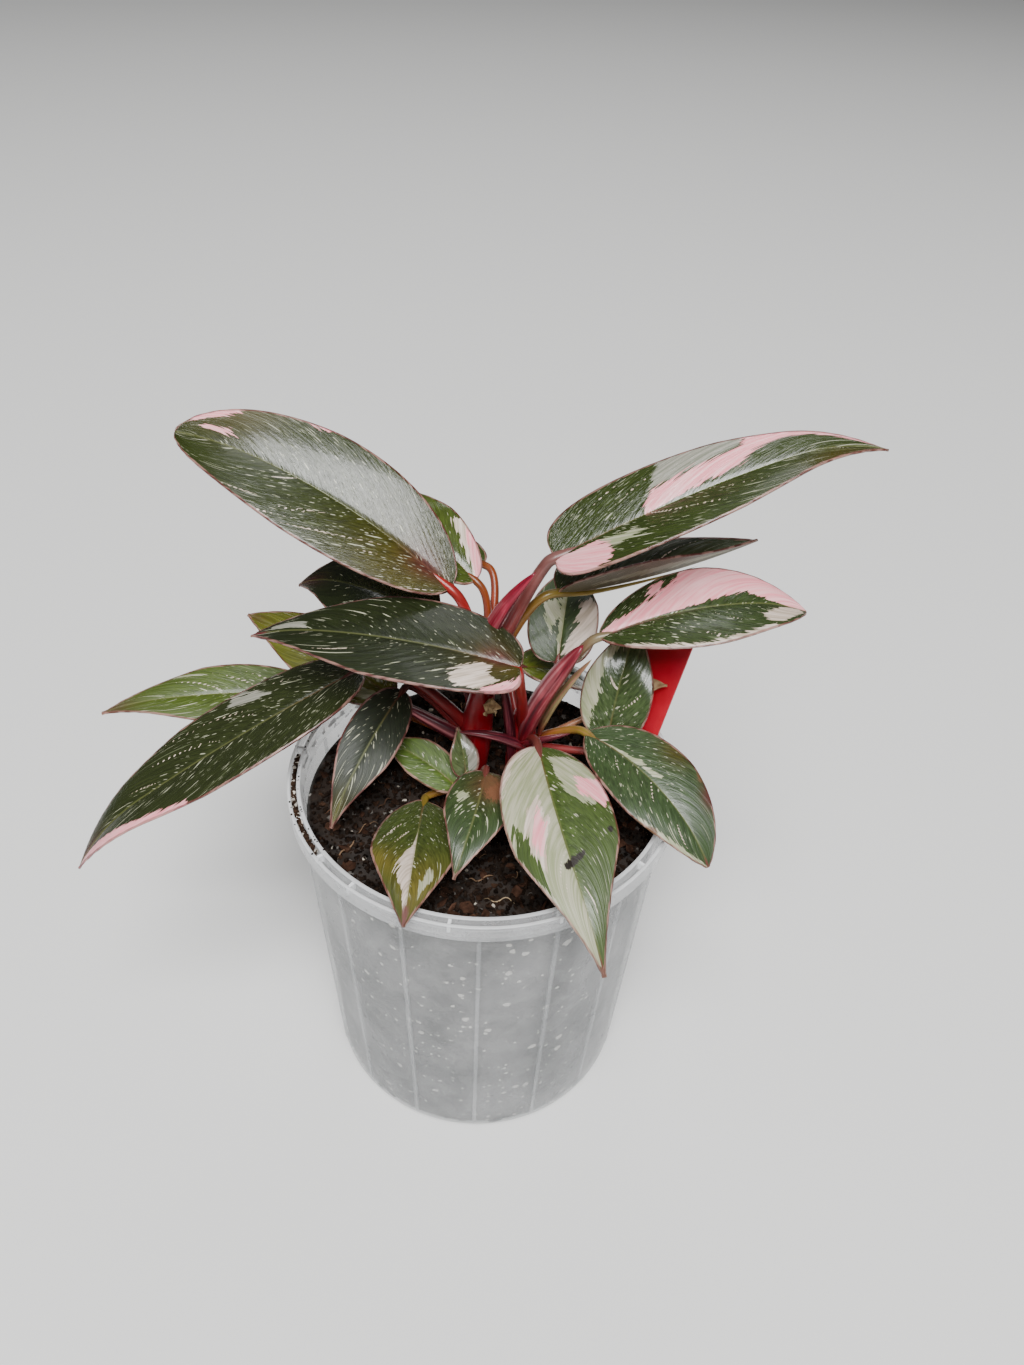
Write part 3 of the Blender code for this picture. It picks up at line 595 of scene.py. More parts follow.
def blade_relief_group():
    """A blade's height: broad ripples and fine wrinkles along its side veins."""
    tree, given, made = new_group("blade relief", {"Veins": "Vector"}, "Height", "Float")
    broad = tree.grain(given["Veins"], (5, 2.6, 1), 2.0, 8.0)
    tree.give(made, tree.plus(broad, tree.grain(given["Veins"], (14, 8, 1), 3.0, 1.0)))
    return tree.tree


def blade_look(name, groups):
    """A blade's material so far, its vein map, and the colour and height that its attributes and that map give."""
    tree = Look(name)
    veins = tree.add("UVMap", uv_map="veins")[0]
    marks, drawn, scars = (tree.attribute(layer) for layer in ("marks", "lines", "scars"))
    areas = tree.add("SeparateColor", {0: marks["Color"]})
    lines = tree.add("SeparateColor", {0: drawn["Color"]})
    inputs = {"Veins": veins, "Ground": tree.attribute("ground")["Color"], "Pink": areas[0], "Cream": areas[1],
              "Pale": areas[2], "Grey": marks["Alpha"], "Flecks": lines[2], "Rib": lines[0]}
    colour = tree.add("Group", inputs, node_tree=groups["marbling"])[0]
    inputs = {"Color": colour, "Rib": lines[0], "Edge": lines[1], "Along": drawn["Alpha"], "Veins": veins}
    colour = tree.add("Group", inputs, node_tree=groups["lines"])[0]
    ragged = tree.times(tree.minus(tree.grain(veins, (16, 16, 1), 3.0, 3.0), 0.5), 0.9)
    colour = tree.mixed(tree.ramp(tree.plus(scars["Alpha"], ragged), 0.34, 0.62), colour, scars["Color"])
    return tree, veins, colour, tree.add("Group", {"Veins": veins}, node_tree=groups["relief"])[0]


def leaf_top_material(groups):
    """A blade's glossy face, duller where its gloss is low."""
    tree, veins, colour, relief = blade_look("leaf_top", groups)
    gloss = tree.attribute("gloss")["Fac"]
    roughness = tree.scaled(tree.grain(veins, (5, 2.5, 1), 3.0, 6.0), 0.16, 0.14)
    dulled = tree.times(tree.minus(1.0, gloss), 0.3)
    return tree.shaded(Base_Color=colour, Roughness=tree.plus(roughness, dulled), Coat_Roughness=0.10,
                       Coat_Weight=tree.times(gloss, 0.35), Normal=tree.bumped(relief, 0.13))


def leaf_under_material(groups):
    """A blade's duller underside, with red in its green."""
    tree, _, colour, relief = blade_look("leaf_underside", groups)
    return tree.shaded(Base_Color=tree.mixed(0.5, colour, (0.15, 0.10, 0.07)), Roughness=0.5,
                       Normal=tree.bumped(relief, 0.09))


def dry_material():
    tree = Look("dry_leaf")
    blotch = tree.grain(tree.place(), 400, 4.0)
    colour = tree.mixed(tree.ramp(blotch, 0.35, 0.65), (0.26, 0.15, 0.07), (0.52, 0.37, 0.2))
    return tree.shaded(Base_Color=colour, Roughness=0.8, Normal=tree.bumped(blotch, 0.3))


def stalk_material():
    """Glossy red stalks, streaked along their length."""
    tree = Look("red_stalk")
    along = tree.add("UVMap", uv_map="along")[0]
    tone = tree.attribute("tone")
    streaks = tree.grain(along, (14, 0.5, 1), 3.0)
    blotch = tree.grain(along, (3, 1.6, 1), 2.0, 3.0)
    colour = tone["Color"]
    for share, shade in (
        (tree.times(tree.ramp(streaks, 0.5, 0.66), tone["Alpha"]), (0.50, 0.13, 0.15)),
        (tree.times(tree.ramp(streaks, 0.46, 0.34), tone["Alpha"]), (0.05, 0.006, 0.012)),
        (tree.times(tree.ramp(blotch, 0.6, 0.35), 0.3), (0.03, 0.006, 0.006)),
    ):
        colour = tree.mixed(share, colour, shade)
    return tree.shaded(Base_Color=colour, Roughness=0.36, Coat_Weight=0.2, Coat_Roughness=0.15,
                       Specular_IOR_Level=0.35, Normal=tree.bumped(streaks, 0.10))


def pot_material():
    """Cloudy clear plastic with fine scuffs, specks of dirt, a dirt line at its foot and a darker band under its
    skirt.
    """
    tree = Look("cloudy_clear_plastic")
    place = tree.place()
    height = tree.add("SeparateXYZ", {0: place})[2]

    def above(low, high):
        return tree.ramp(height, low * MM, high * MM)

    cloud = tree.grain(place, (60, 60, 34), 5.0)
    scuffs = tree.grain(place, 420, 3.0, 3.0)
    smudge = tree.ramp(tree.grain(place, 260, 3.0, 7.0), 0.50, 0.62)
    foot_line = above(2.5, 0.5)
    # A darker, less clear soil-brown band just under the skirt, broken up by the smudges.
    neck_line = tree.times(above(116.6, 117), above(118.9, 118.4))
    lines = tree.times(tree.maths("MAXIMUM", foot_line, neck_line), smudge, 0.75)
    dirt_and_dark_band = tree.maths("MAXIMUM", tree.times(tree.dots(place, 330, 0.05, 0.04, 0.2), 0.8), lines)
    edge = tree.times(above(POT_HEIGHT - 0.5, POT_HEIGHT), 0.5)
    rim = tree.times(above(NECK_Z, NECK_Z + 0.4), 0.12)
    haze = tree.plus(tree.attribute("haze")["Fac"], tree.plus(edge, rim))
    grazing = tree.add("LayerWeight", {"Blend": 0.5})["Facing"]
    thicker = tree.times(tree.maths("POWER", grazing, 2.0), 0.42)
    alpha = tree.maths("MAXIMUM", tree.plus(tree.scaled(cloud, 0.30, -0.15), haze, thicker), dirt_and_dark_band)
    colour = tree.mixed(tree.ramp(cloud, 0.3, 0.7), (0.50, 0.52, 0.53), (0.64, 0.65, 0.66))
    colour = tree.mixed(above(NECK_Z - 0.4, NECK_Z), colour, (0.76, 0.77, 0.78))
    return tree.shaded(Base_Color=tree.mixed(dirt_and_dark_band, colour, SOIL_BROWN), Roughness=tree.scaled(scuffs, 0.3, 0.16),
                       Alpha=alpha, Normal=tree.bumped(scuffs, 0.02))


def soil_material():
    """Dark crumbly soil. Where it lies against the pot's wall it is greyer, with white grit pressed against it."""
    tree = Look("potting_soil")
    place = tree.place()
    clumps = tree.grain(place, 260, 5.0)
    dark = tree.mixed(tree.ramp(clumps, 0.3, 0.62), (0.35, 0.35, 0.35), (1.3, 1.3, 1.3))
    colour = tree.mixed(1.0, tree.attribute("tone")["Color"], dark, "MULTIPLY")
    wall = tree.attribute("wall")["Fac"]
    pressed = tree.mixed(tree.ramp(tree.grain(place, 120, 4.0, 2.0), 0.42, 0.6), (0.06, 0.057, 0.053),
                         (0.14, 0.135, 0.13))
    colour = tree.mixed(wall, colour, pressed)
    for stretch, dense in ((230, 0.5), (420, 0.45)):
        grit = tree.times(tree.dots(place, stretch, dense, 0.04, 0.3), wall, 0.8)
        colour = tree.mixed(grit, colour, (0.75, 0.72, 0.66))
    return tree.shaded(Base_Color=colour, Roughness=0.95, Specular_IOR_Level=0.05, Normal=tree.bumped(clumps, 1.5))


def label_material():
    tree = Look("red_label_plastic")
    place = tree.place()
    scratches = tree.grain(place, (500, 500, 60), 2.0, 4.0)
    colour = tree.mixed(tree.ramp(tree.grain(place, 90, 3.0), 0.35, 0.65), (0.46, 0.004, 0.016), (0.56, 0.008, 0.026))
    return tree.shaded(Base_Color=colour, Roughness=tree.scaled(scratches, 0.2, 0.3),
                       Normal=tree.bumped(scratches, 0.02))


# --- Pieces ----------------------------------------------------------------


def in_scene(name, data):
    """A new object of the scene."""
    item = bpy.data.objects.new(name, data)
    bpy.context.scene.collection.objects.link(item)
    return item


def to_object(name, bm, materials, smooth=True):
    """The bmesh as an object at the origin."""
    mesh = bpy.data.meshes.new(name)
    bm.to_mesh(mesh)
    bm.free()
    if smooth:
        mesh.shade_smooth()
    for material in materials:
        mesh.materials.append(material)
    return in_scene(name, mesh)


def fit(piece, slot, *nodes):
    """Hangs the piece on the plant's one body, in place of the solids that it stands for."""
    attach(piece, "root")
    if nodes:
        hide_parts(*nodes)
    return piece


def new_bmesh(colours=(), values=(), maps=()):
    """A bmesh and its layers: colours and values on its vertices, and maps."""
    bm = bmesh.new()
    layers = [bm.verts.layers.float_color.new(name) for name in colours]
    layers += [bm.verts.layers.float.new(name) for name in values]
    layers += [bm.loops.layers.uv.new(name) for name in maps]
    return bm, layers


def thicken(piece, thickness, **settings):
    """Gives a surface its thickness, in millimetres."""
    solidify = piece.modifiers.new("Thickness", "SOLIDIFY")
    solidify.thickness = thickness * MM
    for name, value in settings.items():
        setattr(solidify, name, value)
    return piece


def sharpened(piece):
    piece.data.set_sharp_from_angle(angle=math.radians(SHARP_DEG))
    return piece


@lru_cache(maxsize=None)
def blade_length(leaf):
    """From the blade's base straight to its tip."""
    return (Vector(leaf.tip) - Vector(leaf.base)).length


@lru_cache(maxsize=None)
def outline(leaf, t):
    """Half the blade's width at t, from 0 at the stalk to 1 at the drip tip."""
    rise = leaf.taper * leaf.belly / (1 - leaf.belly)
    share = (t / leaf.belly) ** rise * ((1 - t) / (1 - leaf.belly)) ** leaf.taper
    drawn_in = leaf.drip * max((t - DRIP_START) / (1 - DRIP_START), 0)
    half = leaf.width / 2 * share * (1 - drawn_in)
    return max(half, BASE_HALF_WIDTH * (1 - t) + TIP_HALF_WIDTH * t)


@lru_cache(maxsize=None)
def midrib(leaf, t):
    """The midrib's point at t."""
    base, tip = Vector(leaf.base), Vector(leaf.tip)
    chord = tip - base
    right = chord.cross(UP).normalized()
    above = right.cross(chord).normalized()
    bend = 4 * t * (1 - t)
    droop = t - (max(t - HOOK_START, 0) / (1 - HOOK_START)) ** 2
    return base + chord * t + above * (leaf.arch * bend + leaf.hook * droop) + right * leaf.sway * bend


@lru_cache(maxsize=None)
def blade_axes(leaf, t):
    """(along, right, above) at t: unit vectors of the blade there, rolled and twisted."""
    step = 0.01
    along = (midrib(leaf, min(t + step, 1)) - midrib(leaf, max(t - step, 0))).normalized()
    turn = Matrix.Rotation(math.radians(leaf.roll + leaf.twist * t), 3, along)
    right = turn @ along.cross(UP).normalized()
    return along, right, right.cross(along)


def vein_start(t, s):
    """Where the side vein through (t, s) leaves the midrib."""
    return t - VEIN_SWEEP * abs(s) ** VEIN_BEND


def blade_point(leaf, t, s):
    """A point of the blade's surface, with its midrib sunk and its side veins drawn in."""
    along, right, above = blade_axes(leaf, t)
    half = outline(leaf, t)
    side = abs(s)
    lift = half * (math.tan(math.radians(leaf.fold)) * side + leaf.cup * side**2)
    wave = leaf.wave * math.sin(WAVES_DOWN * t + WAVES_ACROSS * s + leaf.width) * side**2
    lobe = leaf.near_lobe if leaf.near_lobe and s < 0 else leaf.lobe
    back = lobe * side**2 * (1 - t) ** 2 * (half - BASE_HALF_WIDTH) / (leaf.width / 2)
    groove = -GROOVE_DEPTH * math.exp(-((half * s / GROOVE_WIDTH) ** 2)) * (1 - t)
    ripple = math.sin(2 * math.pi * vein_start(t, s) * blade_length(leaf) / VEIN_SPACING)
    quilt = QUILT_DEPTH * ripple * min(side * 3, 1) * min(half / QUILT_HALF_WIDTH, 1)
    return midrib(leaf, t) + right * (half * s) + above * (lift + wave + groove + quilt) - along * back


def inside_by(corners, place):
    """How far a place lies inside a polygon, and less than 0 outside it."""
    gaps = []
    inside = False
    for first, second in zip(corners, corners[1:] + corners[:1]):
        span = second - first
        share = min(max((place - first).dot(span) / max(span.length_squared, 1e-9), 0), 1)
        gaps.append((place - first - span * share).length)
        if (first.y > place.y) != (second.y > place.y):
            if place.x < first.x + (place.y - first.y) * span.x / span.y:
                inside = not inside
    return min(gaps) if inside else -min(gaps)


def blade_marks(leaf, paint, t, s):
    """The fields of pink, cream, pale and grey at (t, s): above a half inside a patch, below a half outside."""
    length, half_width = blade_length(leaf), leaf.width / 2
    place = Vector((t * length, s * half_width))
    fields = {"pink": 0.0, "cream": 0.0, "pale": 0.0, "grey": 0.0}
    for colour, *corners in paint.patches:
        ring = [Vector((along * length, across * half_width)) for along, across in corners]
        value = min(max(0.5 + inside_by(ring, place) / FIELD_REACH, 0), 1)
        if colour == "green":
            fields = {name: min(field, 1 - value) for name, field in fields.items()}
        else:
            fields[colour] = max(fields[colour], value)
    for along, across, reach, width in paint.streaks:
        if s * across > 0:
            over = (vein_start(t, s) - vein_start(along, across)) * length / (width / 2)
            down = (abs(s) - abs(across)) * half_width / (reach / 2)
            value = 0.5 + (1 - math.hypot(over, down)) * STREAK_SHARPNESS
            fields["cream"] = max(fields["cream"], min(value, 1))
    return fields["pink"], fields["cream"], fields["pale"], fields["grey"]


def nearness(leaf, t, s, along, across, radius):
    """1 at a spot of the blade, and less the further (t, s) is from it."""
    gap = math.hypot((t - along) * blade_length(leaf), (s - across) * leaf.width / 2)
    return math.exp(-((gap / radius) ** 2))


def ground_colour(leaf, paint, t, s):
    """The blade's own green at (t, s), with its stains."""
    colour = Vector(paint.green)
    for stain, *spot in paint.stains:
        colour = colour.lerp(Vector(stain), nearness(leaf, t, s, *spot))
    return (*colour, 1.0)


def scar_colour(leaf, paint, t, s):
    """The colour of the scar nearest to (t, s), and how much of it shows there."""
    shown, nearest = 0.0, NEAR_BLACK
    for colour, *spot in paint.scars:
        share = nearness(leaf, t, s, *spot)
        if share > shown:
            shown, nearest = share, colour
    return (*nearest, shown)


def build_blade(leaf, index, top, under):
    """A fine blade in the form of its solid, with the maps that its colours are made from."""
    paint = PAINTS.get(leaf.name, Paint())
    length = blade_length(leaf)
    rows, columns = round(length / BLADE_CELL), 2 * round(leaf.width / BLADE_CELL / 2)
    bm, layers = new_bmesh(("marks", "lines", "ground", "scars"), ("gloss",), ("veins",))
    marks, lines, ground, scars, gloss, veins = layers
    bmesh.ops.create_grid(bm, x_segments=rows, y_segments=columns, size=1.0)
    maps = {}
    for vertex in bm.verts:
        t = min(max(0.5 + 0.5 * math.sin(vertex.co.x * math.pi / 2), 0), 1)
        s = -math.copysign(abs(vertex.co.y) ** BLADE_CROWDING, vertex.co.y)
        half = outline(leaf, t)
        vertex[marks] = blade_marks(leaf, paint, t, s)
        vertex[lines] = (abs(s) * half / LINE_REACH, (1 - abs(s)) * half / LINE_REACH, paint.flecks, t)
        vertex[ground] = ground_colour(leaf, paint, t, s)
        vertex[scars] = scar_colour(leaf, paint, t, s)
        vertex[gloss] = paint.gloss
        maps[vertex] = (vein_start(t, s) * length / MAP_UNIT + MAP_SHIFT * index, s * half / MAP_UNIT)
        vertex.co = blade_point(leaf, t, s) * MM
    for face in bm.faces:
        for loop in face.loops:
            loop[veins].uv = maps[loop.vert]
    blade = to_object(leaf.name + "_fine", bm, [top, under])
    return thicken(blade, BLADE_THICKNESS, offset=0, material_offset=1)


def sweep(bm, path, radii, colours, sides=16, flat=1.0, keel=0.0, striped=0.15, stripes=()):
    """A closed tube along a path, drawn in to a point at both ends, with a colour at each point and stripes."""
    along_map = bm.loops.layers.uv["along"]
    tone = bm.verts.layers.float_color["tone"]
    steps = len(path) - 1
    radii = [0.0, *radii[1:-1], 0.0]
    verts = bmesh.ops.create_grid(bm, x_segments=steps, y_segments=sides, size=1.0)["verts"]
    across = FACING
    frames = []
    reached = [0.0]
    for step in range(steps + 1):
        ahead = (path[min(step + 1, steps)] - path[max(step - 1, 0)]).normalized()
        across = (across - ahead * across.dot(ahead)).normalized()
        frames.append((across, ahead.cross(across)))
        if step:
            reached.append(reached[-1] + (path[step] - path[step - 1]).length)
    maps = {}
    for vertex in verts:
        step = round((vertex.co.x + 1) / 2 * steps)
        turn = (vertex.co.y + 1) / 2
        angle = 2 * math.pi * turn
        right, above = frames[step]
        offset = right * math.cos(angle) + above * math.sin(angle) * flat
        maps[vertex] = (turn, reached[step] / MAP_UNIT)
        colour = Vector(colours[step])
        for middle, width, stripe in stripes:
            gap = (math.degrees(angle) - middle + 180) % 360 - 180
            share = max(1 - (gap / width) ** 2, 0) * min(3 * step / steps, 4 * (1 - step / steps), 1)
            colour = colour.lerp(Vector(stripe), share)
        vertex[tone] = (*colour, striped)
        vertex.co = (path[step] + offset * radii[step] * (1 + keel * max(math.cos(angle), 0) ** 6)) * MM
    for face in {face for vertex in verts for face in vertex.link_faces}:
        for loop in face.loops:
            loop[along_map].uv = maps[loop.vert]


def stalk_path(leaf):
    """Points of the stalk, from inside its stem to the blade's base, and on under the blade's midrib."""
    shoot = SHOOTS[leaf.shoot]
    foot, crown = Vector(shoot.foot), Vector(shoot.crown)
    start = foot.lerp(crown, (leaf.stalk_z - foot.z) / (crown.z - foot.z))
    along, _, above = blade_axes(leaf, 0)
    end = Vector(leaf.base) - above * leaf.stalk_radius * leaf.stalk_below
    leave = along.lerp(above, leaf.stalk_below).normalized()
    neck = end - leave * STALK_NECK
    reach = (neck - start).length
    rise = start.lerp(neck, 0.15) + UP * reach * 0.15
    bend = neck - leave * reach * leaf.stalk_bend
    path = geometry.interpolate_bezier(start, rise, bend, neck, STALK_STEPS) + [end]
    for step in range(1, UNDER_BLADE_STEPS + 1):
        t = UNDER_BLADE_STEP * step
        sunk = STALK_SUNK + leaf.stalk_radius * 0.6 * min(step / 2, 1)
        path.append(midrib(leaf, t) - blade_axes(leaf, t)[2] * sunk)
    return path


def blend_colours(first, second, share):
    return tuple(Vector(first).lerp(Vector(second), share))


def add_stem(bm, shoot):
    """A shoot's stem, brown at its foot."""
    foot, crown = Vector(shoot.foot), Vector(shoot.crown)
    path, radii, colours = [], [], []
    for step in range(STEM_STEPS + 1):
        share = step / STEM_STEPS
        narrowed = min(max((share - 0.5) / 0.4, 0), 1)
        radius = shoot.foot_radius + (shoot.crown_radius - shoot.foot_radius) * narrowed
        path.append(foot.lerp(crown, share))
        radii.append(radius * (1 - 0.6 * max((share - 0.9) / 0.1, 0)))
        colours.append(blend_colours(BROWN, DARK_RED, min(step / 8, 1)))
    sweep(bm, path, radii, colours, sides=28)


def add_stalk(bm, leaf):
    """A leaf's stalk, thicker at its foot, that fades out under the blade's midrib."""
    path = stalk_path(leaf)
    end_colour = STALK_COLOURS.get(leaf.name, BROWN_RED)
    radii, colours = [], []
    for step in range(len(path)):
        share = min(step / (STALK_STEPS - 1), 1)
        beyond = max(step - STALK_STEPS, 0) / UNDER_BLADE_STEPS
        radius = leaf.stalk_radius * (1 + 0.6 * (1 - share) ** 2) * (1 - beyond) ** 0.8
        radii.append(radius * 0.65 if beyond else radius)
        colours.append(blend_colours(DARK_RED, end_colour, share**0.8))
    sweep(bm, path, radii, colours, sides=14, flat=0.9)


def add_sheath(bm, sheath):
    start, knee, end = Vector(sheath.start), Vector(sheath.knee), Vector(sheath.end)
    path = geometry.interpolate_bezier(start, start.lerp(knee, 0.66), end.lerp(knee, 0.66), end, SHEATH_STEPS + 1)
    radii, colours = [], []
    for step in range(SHEATH_STEPS + 1):
        share = step / SHEATH_STEPS
        radii.append(sheath.radius * min(0.6 + 1.4 * share, 1) * (1 - share**sheath.blunt) ** 0.7)
        colours.append(blend_colours(DARK_RED, sheath.colour, min(step / 12, 1)))
    sweep(bm, path, radii, colours, sides=40, flat=sheath.flat, keel=0.18, striped=0.5, stripes=sheath.stripes)


def build_shoot(key, material):
    """A shoot's stem, stalks and sheaths."""
    bm, _ = new_bmesh(("tone",), maps=("along",))
    add_stem(bm, SHOOTS[key])
    for add, rows in ((add_stalk, LEAVES), (add_sheath, SHEATHS)):
        for row in rows:
            if row.shoot == key:
                add(bm, row)
    bmesh.ops.remove_doubles(bm, verts=bm.verts, dist=WELD * MM)
    bmesh.ops.recalc_face_normals(bm, faces=bm.faces)
    return to_object(SHOOTS[key].name + "_fine", bm, [material])


def wall_radius(height):
    """The pot wall's outer radius below its neck."""
    return POT_FOOT_RADIUS + (POT_NECK_RADIUS - POT_FOOT_RADIUS) * height / NECK_Z


def inner_radius(height):
    """The pot wall's inner radius."""
    floor_radius = wall_radius(FLOOR) - WALL
    return floor_radius + (LIP_RADIUS - floor_radius) * (height - FLOOR) / (POT_HEIGHT - FLOOR)


def spin(bm, profile, rounding, sides):
    """Turns a profile of (radius, height) points, with its corners rounded, into a closed body."""
    verts = [bm.verts.new((radius * MM, 0, height * MM)) for radius, height in profile]
    edges = [bm.edges.new(pair) for pair in zip(verts, verts[1:])]
    if rounding:
        bmesh.ops.bevel(bm, geom=verts[1:-1], offset=rounding * MM, segments=3, profile=0.5, affect="VERTICES",
                        material=-1)
        edges = [edge for edge in bm.edges if edge.is_wire]
        verts = list(dict.fromkeys(vertex for edge in edges for vertex in edge.verts))
    bmesh.ops.spin(bm, geom=verts + edges, cent=(0, 0, 0), axis=(0, 0, 1), angle=2 * math.pi, steps=sides,
                   use_merge=True)
    bmesh.ops.remove_doubles(bm, verts=bm.verts, dist=WELD * MM)


def cut_drains(pot):
    """Cuts the drain holes through the pot's floor."""
    bm = bmesh.new()
    for index in range(DRAIN_COUNT):
        turn = Matrix.Rotation(2 * math.pi * index / DRAIN_COUNT, 4, "Z")
        place = turn @ Matrix.Translation((DRAIN_RING_RADIUS * MM, 0, FLOOR / 2 * MM))
        bmesh.ops.create_cone(bm, cap_ends=True, segments=32, radius1=DRAIN_RADIUS * MM, radius2=DRAIN_RADIUS * MM,
                              depth=4 * FLOOR * MM, matrix=place)
    drains = to_object("drains", bm, [], smooth=False)
    cut = pot.modifiers.new("Drains", "BOOLEAN")
    cut.operation = "DIFFERENCE"
    cut.object = drains
    cut.solver = "EXACT"
    bpy.context.view_layer.update()
    mesh = bpy.data.meshes.new_from_object(pot.evaluated_get(bpy.context.evaluated_depsgraph_get()))
    pot.modifiers.clear()
    pot.data = mesh
    bpy.data.objects.remove(drains, do_unlink=True)


def build_pot(material):
    """The pot's wall, lip, channel and skirt, with its webs and ribs sunk into it."""
    skirt_radius = POT_RIM_RADIUS - WALL
    bm = bmesh.new()
    profile = [
        (0, FLOOR),
        (inner_radius(FLOOR), FLOOR),
        (LIP_RADIUS, POT_HEIGHT),
        (POT_NECK_RADIUS, POT_HEIGHT),
        (POT_NECK_RADIUS, CHANNEL_FLOOR),
        (skirt_radius, CHANNEL_FLOOR),
        (skirt_radius, POT_HEIGHT),
        (POT_RIM_RADIUS, POT_HEIGHT),
        (POT_RIM_RADIUS, SKIRT_BOTTOM),
        (skirt_radius, SKIRT_BOTTOM),
        (skirt_radius, CHANNEL_FLOOR - WALL),
        (POT_NECK_RADIUS + NECK_STEP, CHANNEL_FLOOR - WALL),
        (POT_NECK_RADIUS + NECK_STEP, NECK_Z),
        (POT_NECK_RADIUS, NECK_Z),
        (wall_radius(FOOT_ROUND), FOOT_ROUND),
        (wall_radius(FOOT_ROUND) - FOOT_ROUND, 0),
        (0, 0),
    ]
    spin(bm, profile, POT_ROUNDING, POT_SIDES)
    bmesh.ops.recalc_face_normals(bm, faces=bm.faces)
    pot = to_object("pot_fine", bm, [material])
    cut_drains(pot)

    bm = bmesh.new()
    bm.from_mesh(pot.data)
    haze = bm.verts.layers.float.new("haze")
    for vertex in bm.verts:
        vertex[haze] = WALL_HAZE

    def add_box(cloudiness, size, angle_deg, radius, height, lean_deg):
        """A small box on a circle round the pot's axis, leaning out with the wall."""
        turn = Matrix.Rotation(math.radians(angle_deg), 4, "Z")
        place = turn @ Matrix.Translation(Vector((radius, 0, height)) * MM)
        place = place @ Matrix.Rotation(math.radians(lean_deg), 4, "Y") @ Matrix.Diagonal((*(Vector(size) * MM), 1))
        for vertex in bmesh.ops.create_cube(bm, size=1.0, matrix=place)["verts"]:
            vertex[haze] = cloudiness

    channel = skirt_radius - POT_NECK_RADIUS
    web_size = (channel + WALL, WEB_WIDTH, POT_HEIGHT - WEB_BELOW_RIM - CHANNEL_FLOOR + WEB_SUNK)
    web_middle_z = CHANNEL_FLOOR - WEB_SUNK + web_size[2] / 2
    for angle in (*(WEB_FIRST_DEG + 360 / WEB_COUNT * index for index in range(WEB_COUNT)), *GATE_WEBS_DEG):
        add_box(WEB_HAZE, web_size, angle, POT_NECK_RADIUS + channel / 2, web_middle_z, 0)
    lean = math.degrees(math.atan((POT_NECK_RADIUS - POT_FOOT_RADIUS) / NECK_Z))
    for index in range(RIB_COUNT):
        add_box(RIB_HAZE, (RIB_DEPTH, RIB_WIDTH, RIB_HEIGHT), -90 + 360 / RIB_COUNT * index,
                wall_radius(RIB_MIDDLE_Z), RIB_MIDDLE_Z, lean)
    bm.to_mesh(pot.data)
    bm.free()
    return sharpened(pot)


def soil_height(x, y):
    """The soil's height over a point, in millimetres, as its solid has it and with finer lumps."""
    place = Vector((x, y, SOIL_TOP))
    height = SOIL_TOP + SOIL_BUMP * noise.noise(place / SOIL_BUMP_SIZE)
    return height + 1.2 * noise.noise(place / 4.0) + 0.7 * noise.noise(place / 1.7)


def on_ring(angle, radius):
    """The point of a circle round the pot's axis, at an angle in radians."""
    return radius * math.cos(angle), radius * math.sin(angle)


def build_soil(material):
    """The root ball with a lumpy top, strewn with crumbs, bark, perlite and bits of root."""
    bm, (tone, wall, _) = new_bmesh(("tone",), ("wall",), ("along",))
    bottom = FLOOR + SOIL_GAP
    top_radius = inner_radius(SOIL_TOP) - SOIL_GAP
    profile = [(top_radius * ring / SOIL_RINGS, SOIL_TOP) for ring in range(SOIL_RINGS + 1)]
    spin(bm, profile + [(inner_radius(bottom) - SOIL_GAP, bottom), (0, bottom)], 0, SOIL_SIDES)
    for face in bm.faces:
        face.smooth = True
    for vertex in bm.verts:
        radius = math.hypot(vertex.co.x, vertex.co.y) / MM
        on_top = vertex.co.z / MM > SOIL_TOP - 1 and radius < top_radius - 0.5
        vertex[tone] = (*SOIL_BROWN, 1.0)
        vertex[wall] = 0.15 if on_top else 1.0
        if on_top:
            vertex.co.z = soil_height(vertex.co.x / MM, vertex.co.y / MM) * MM

    draw = random.Random(7)

    def anywhere(size):
        """A place for a crumb of this size on the soil."""
        angle = draw.uniform(0, 2 * math.pi)
        x, y = on_ring(angle, (top_radius - size - 0.6) * math.sqrt(draw.random()))
        return x, y, soil_height(x, y) + size * 0.25

    for crumbs in (
        (5200, 0.3, 1.1, SOIL_BROWN, 0.7),
        (500, 0.6, 1.6, (0.030, 0.016, 0.010), 0.6),
        (60, 0.3, 0.9, (0.42, 0.38, 0.32), 0.8),
        (150, 1.0, 2.8, (0.045, 0.022, 0.014), 0.3),
    ):
        strew(bm, draw, *crumbs, anywhere)
    add_roots(bm, draw, top_radius - 8)
    bmesh.ops.recalc_face_normals(bm, faces=bm.faces)
    return to_object("soil_fine", bm, [material], smooth=False)


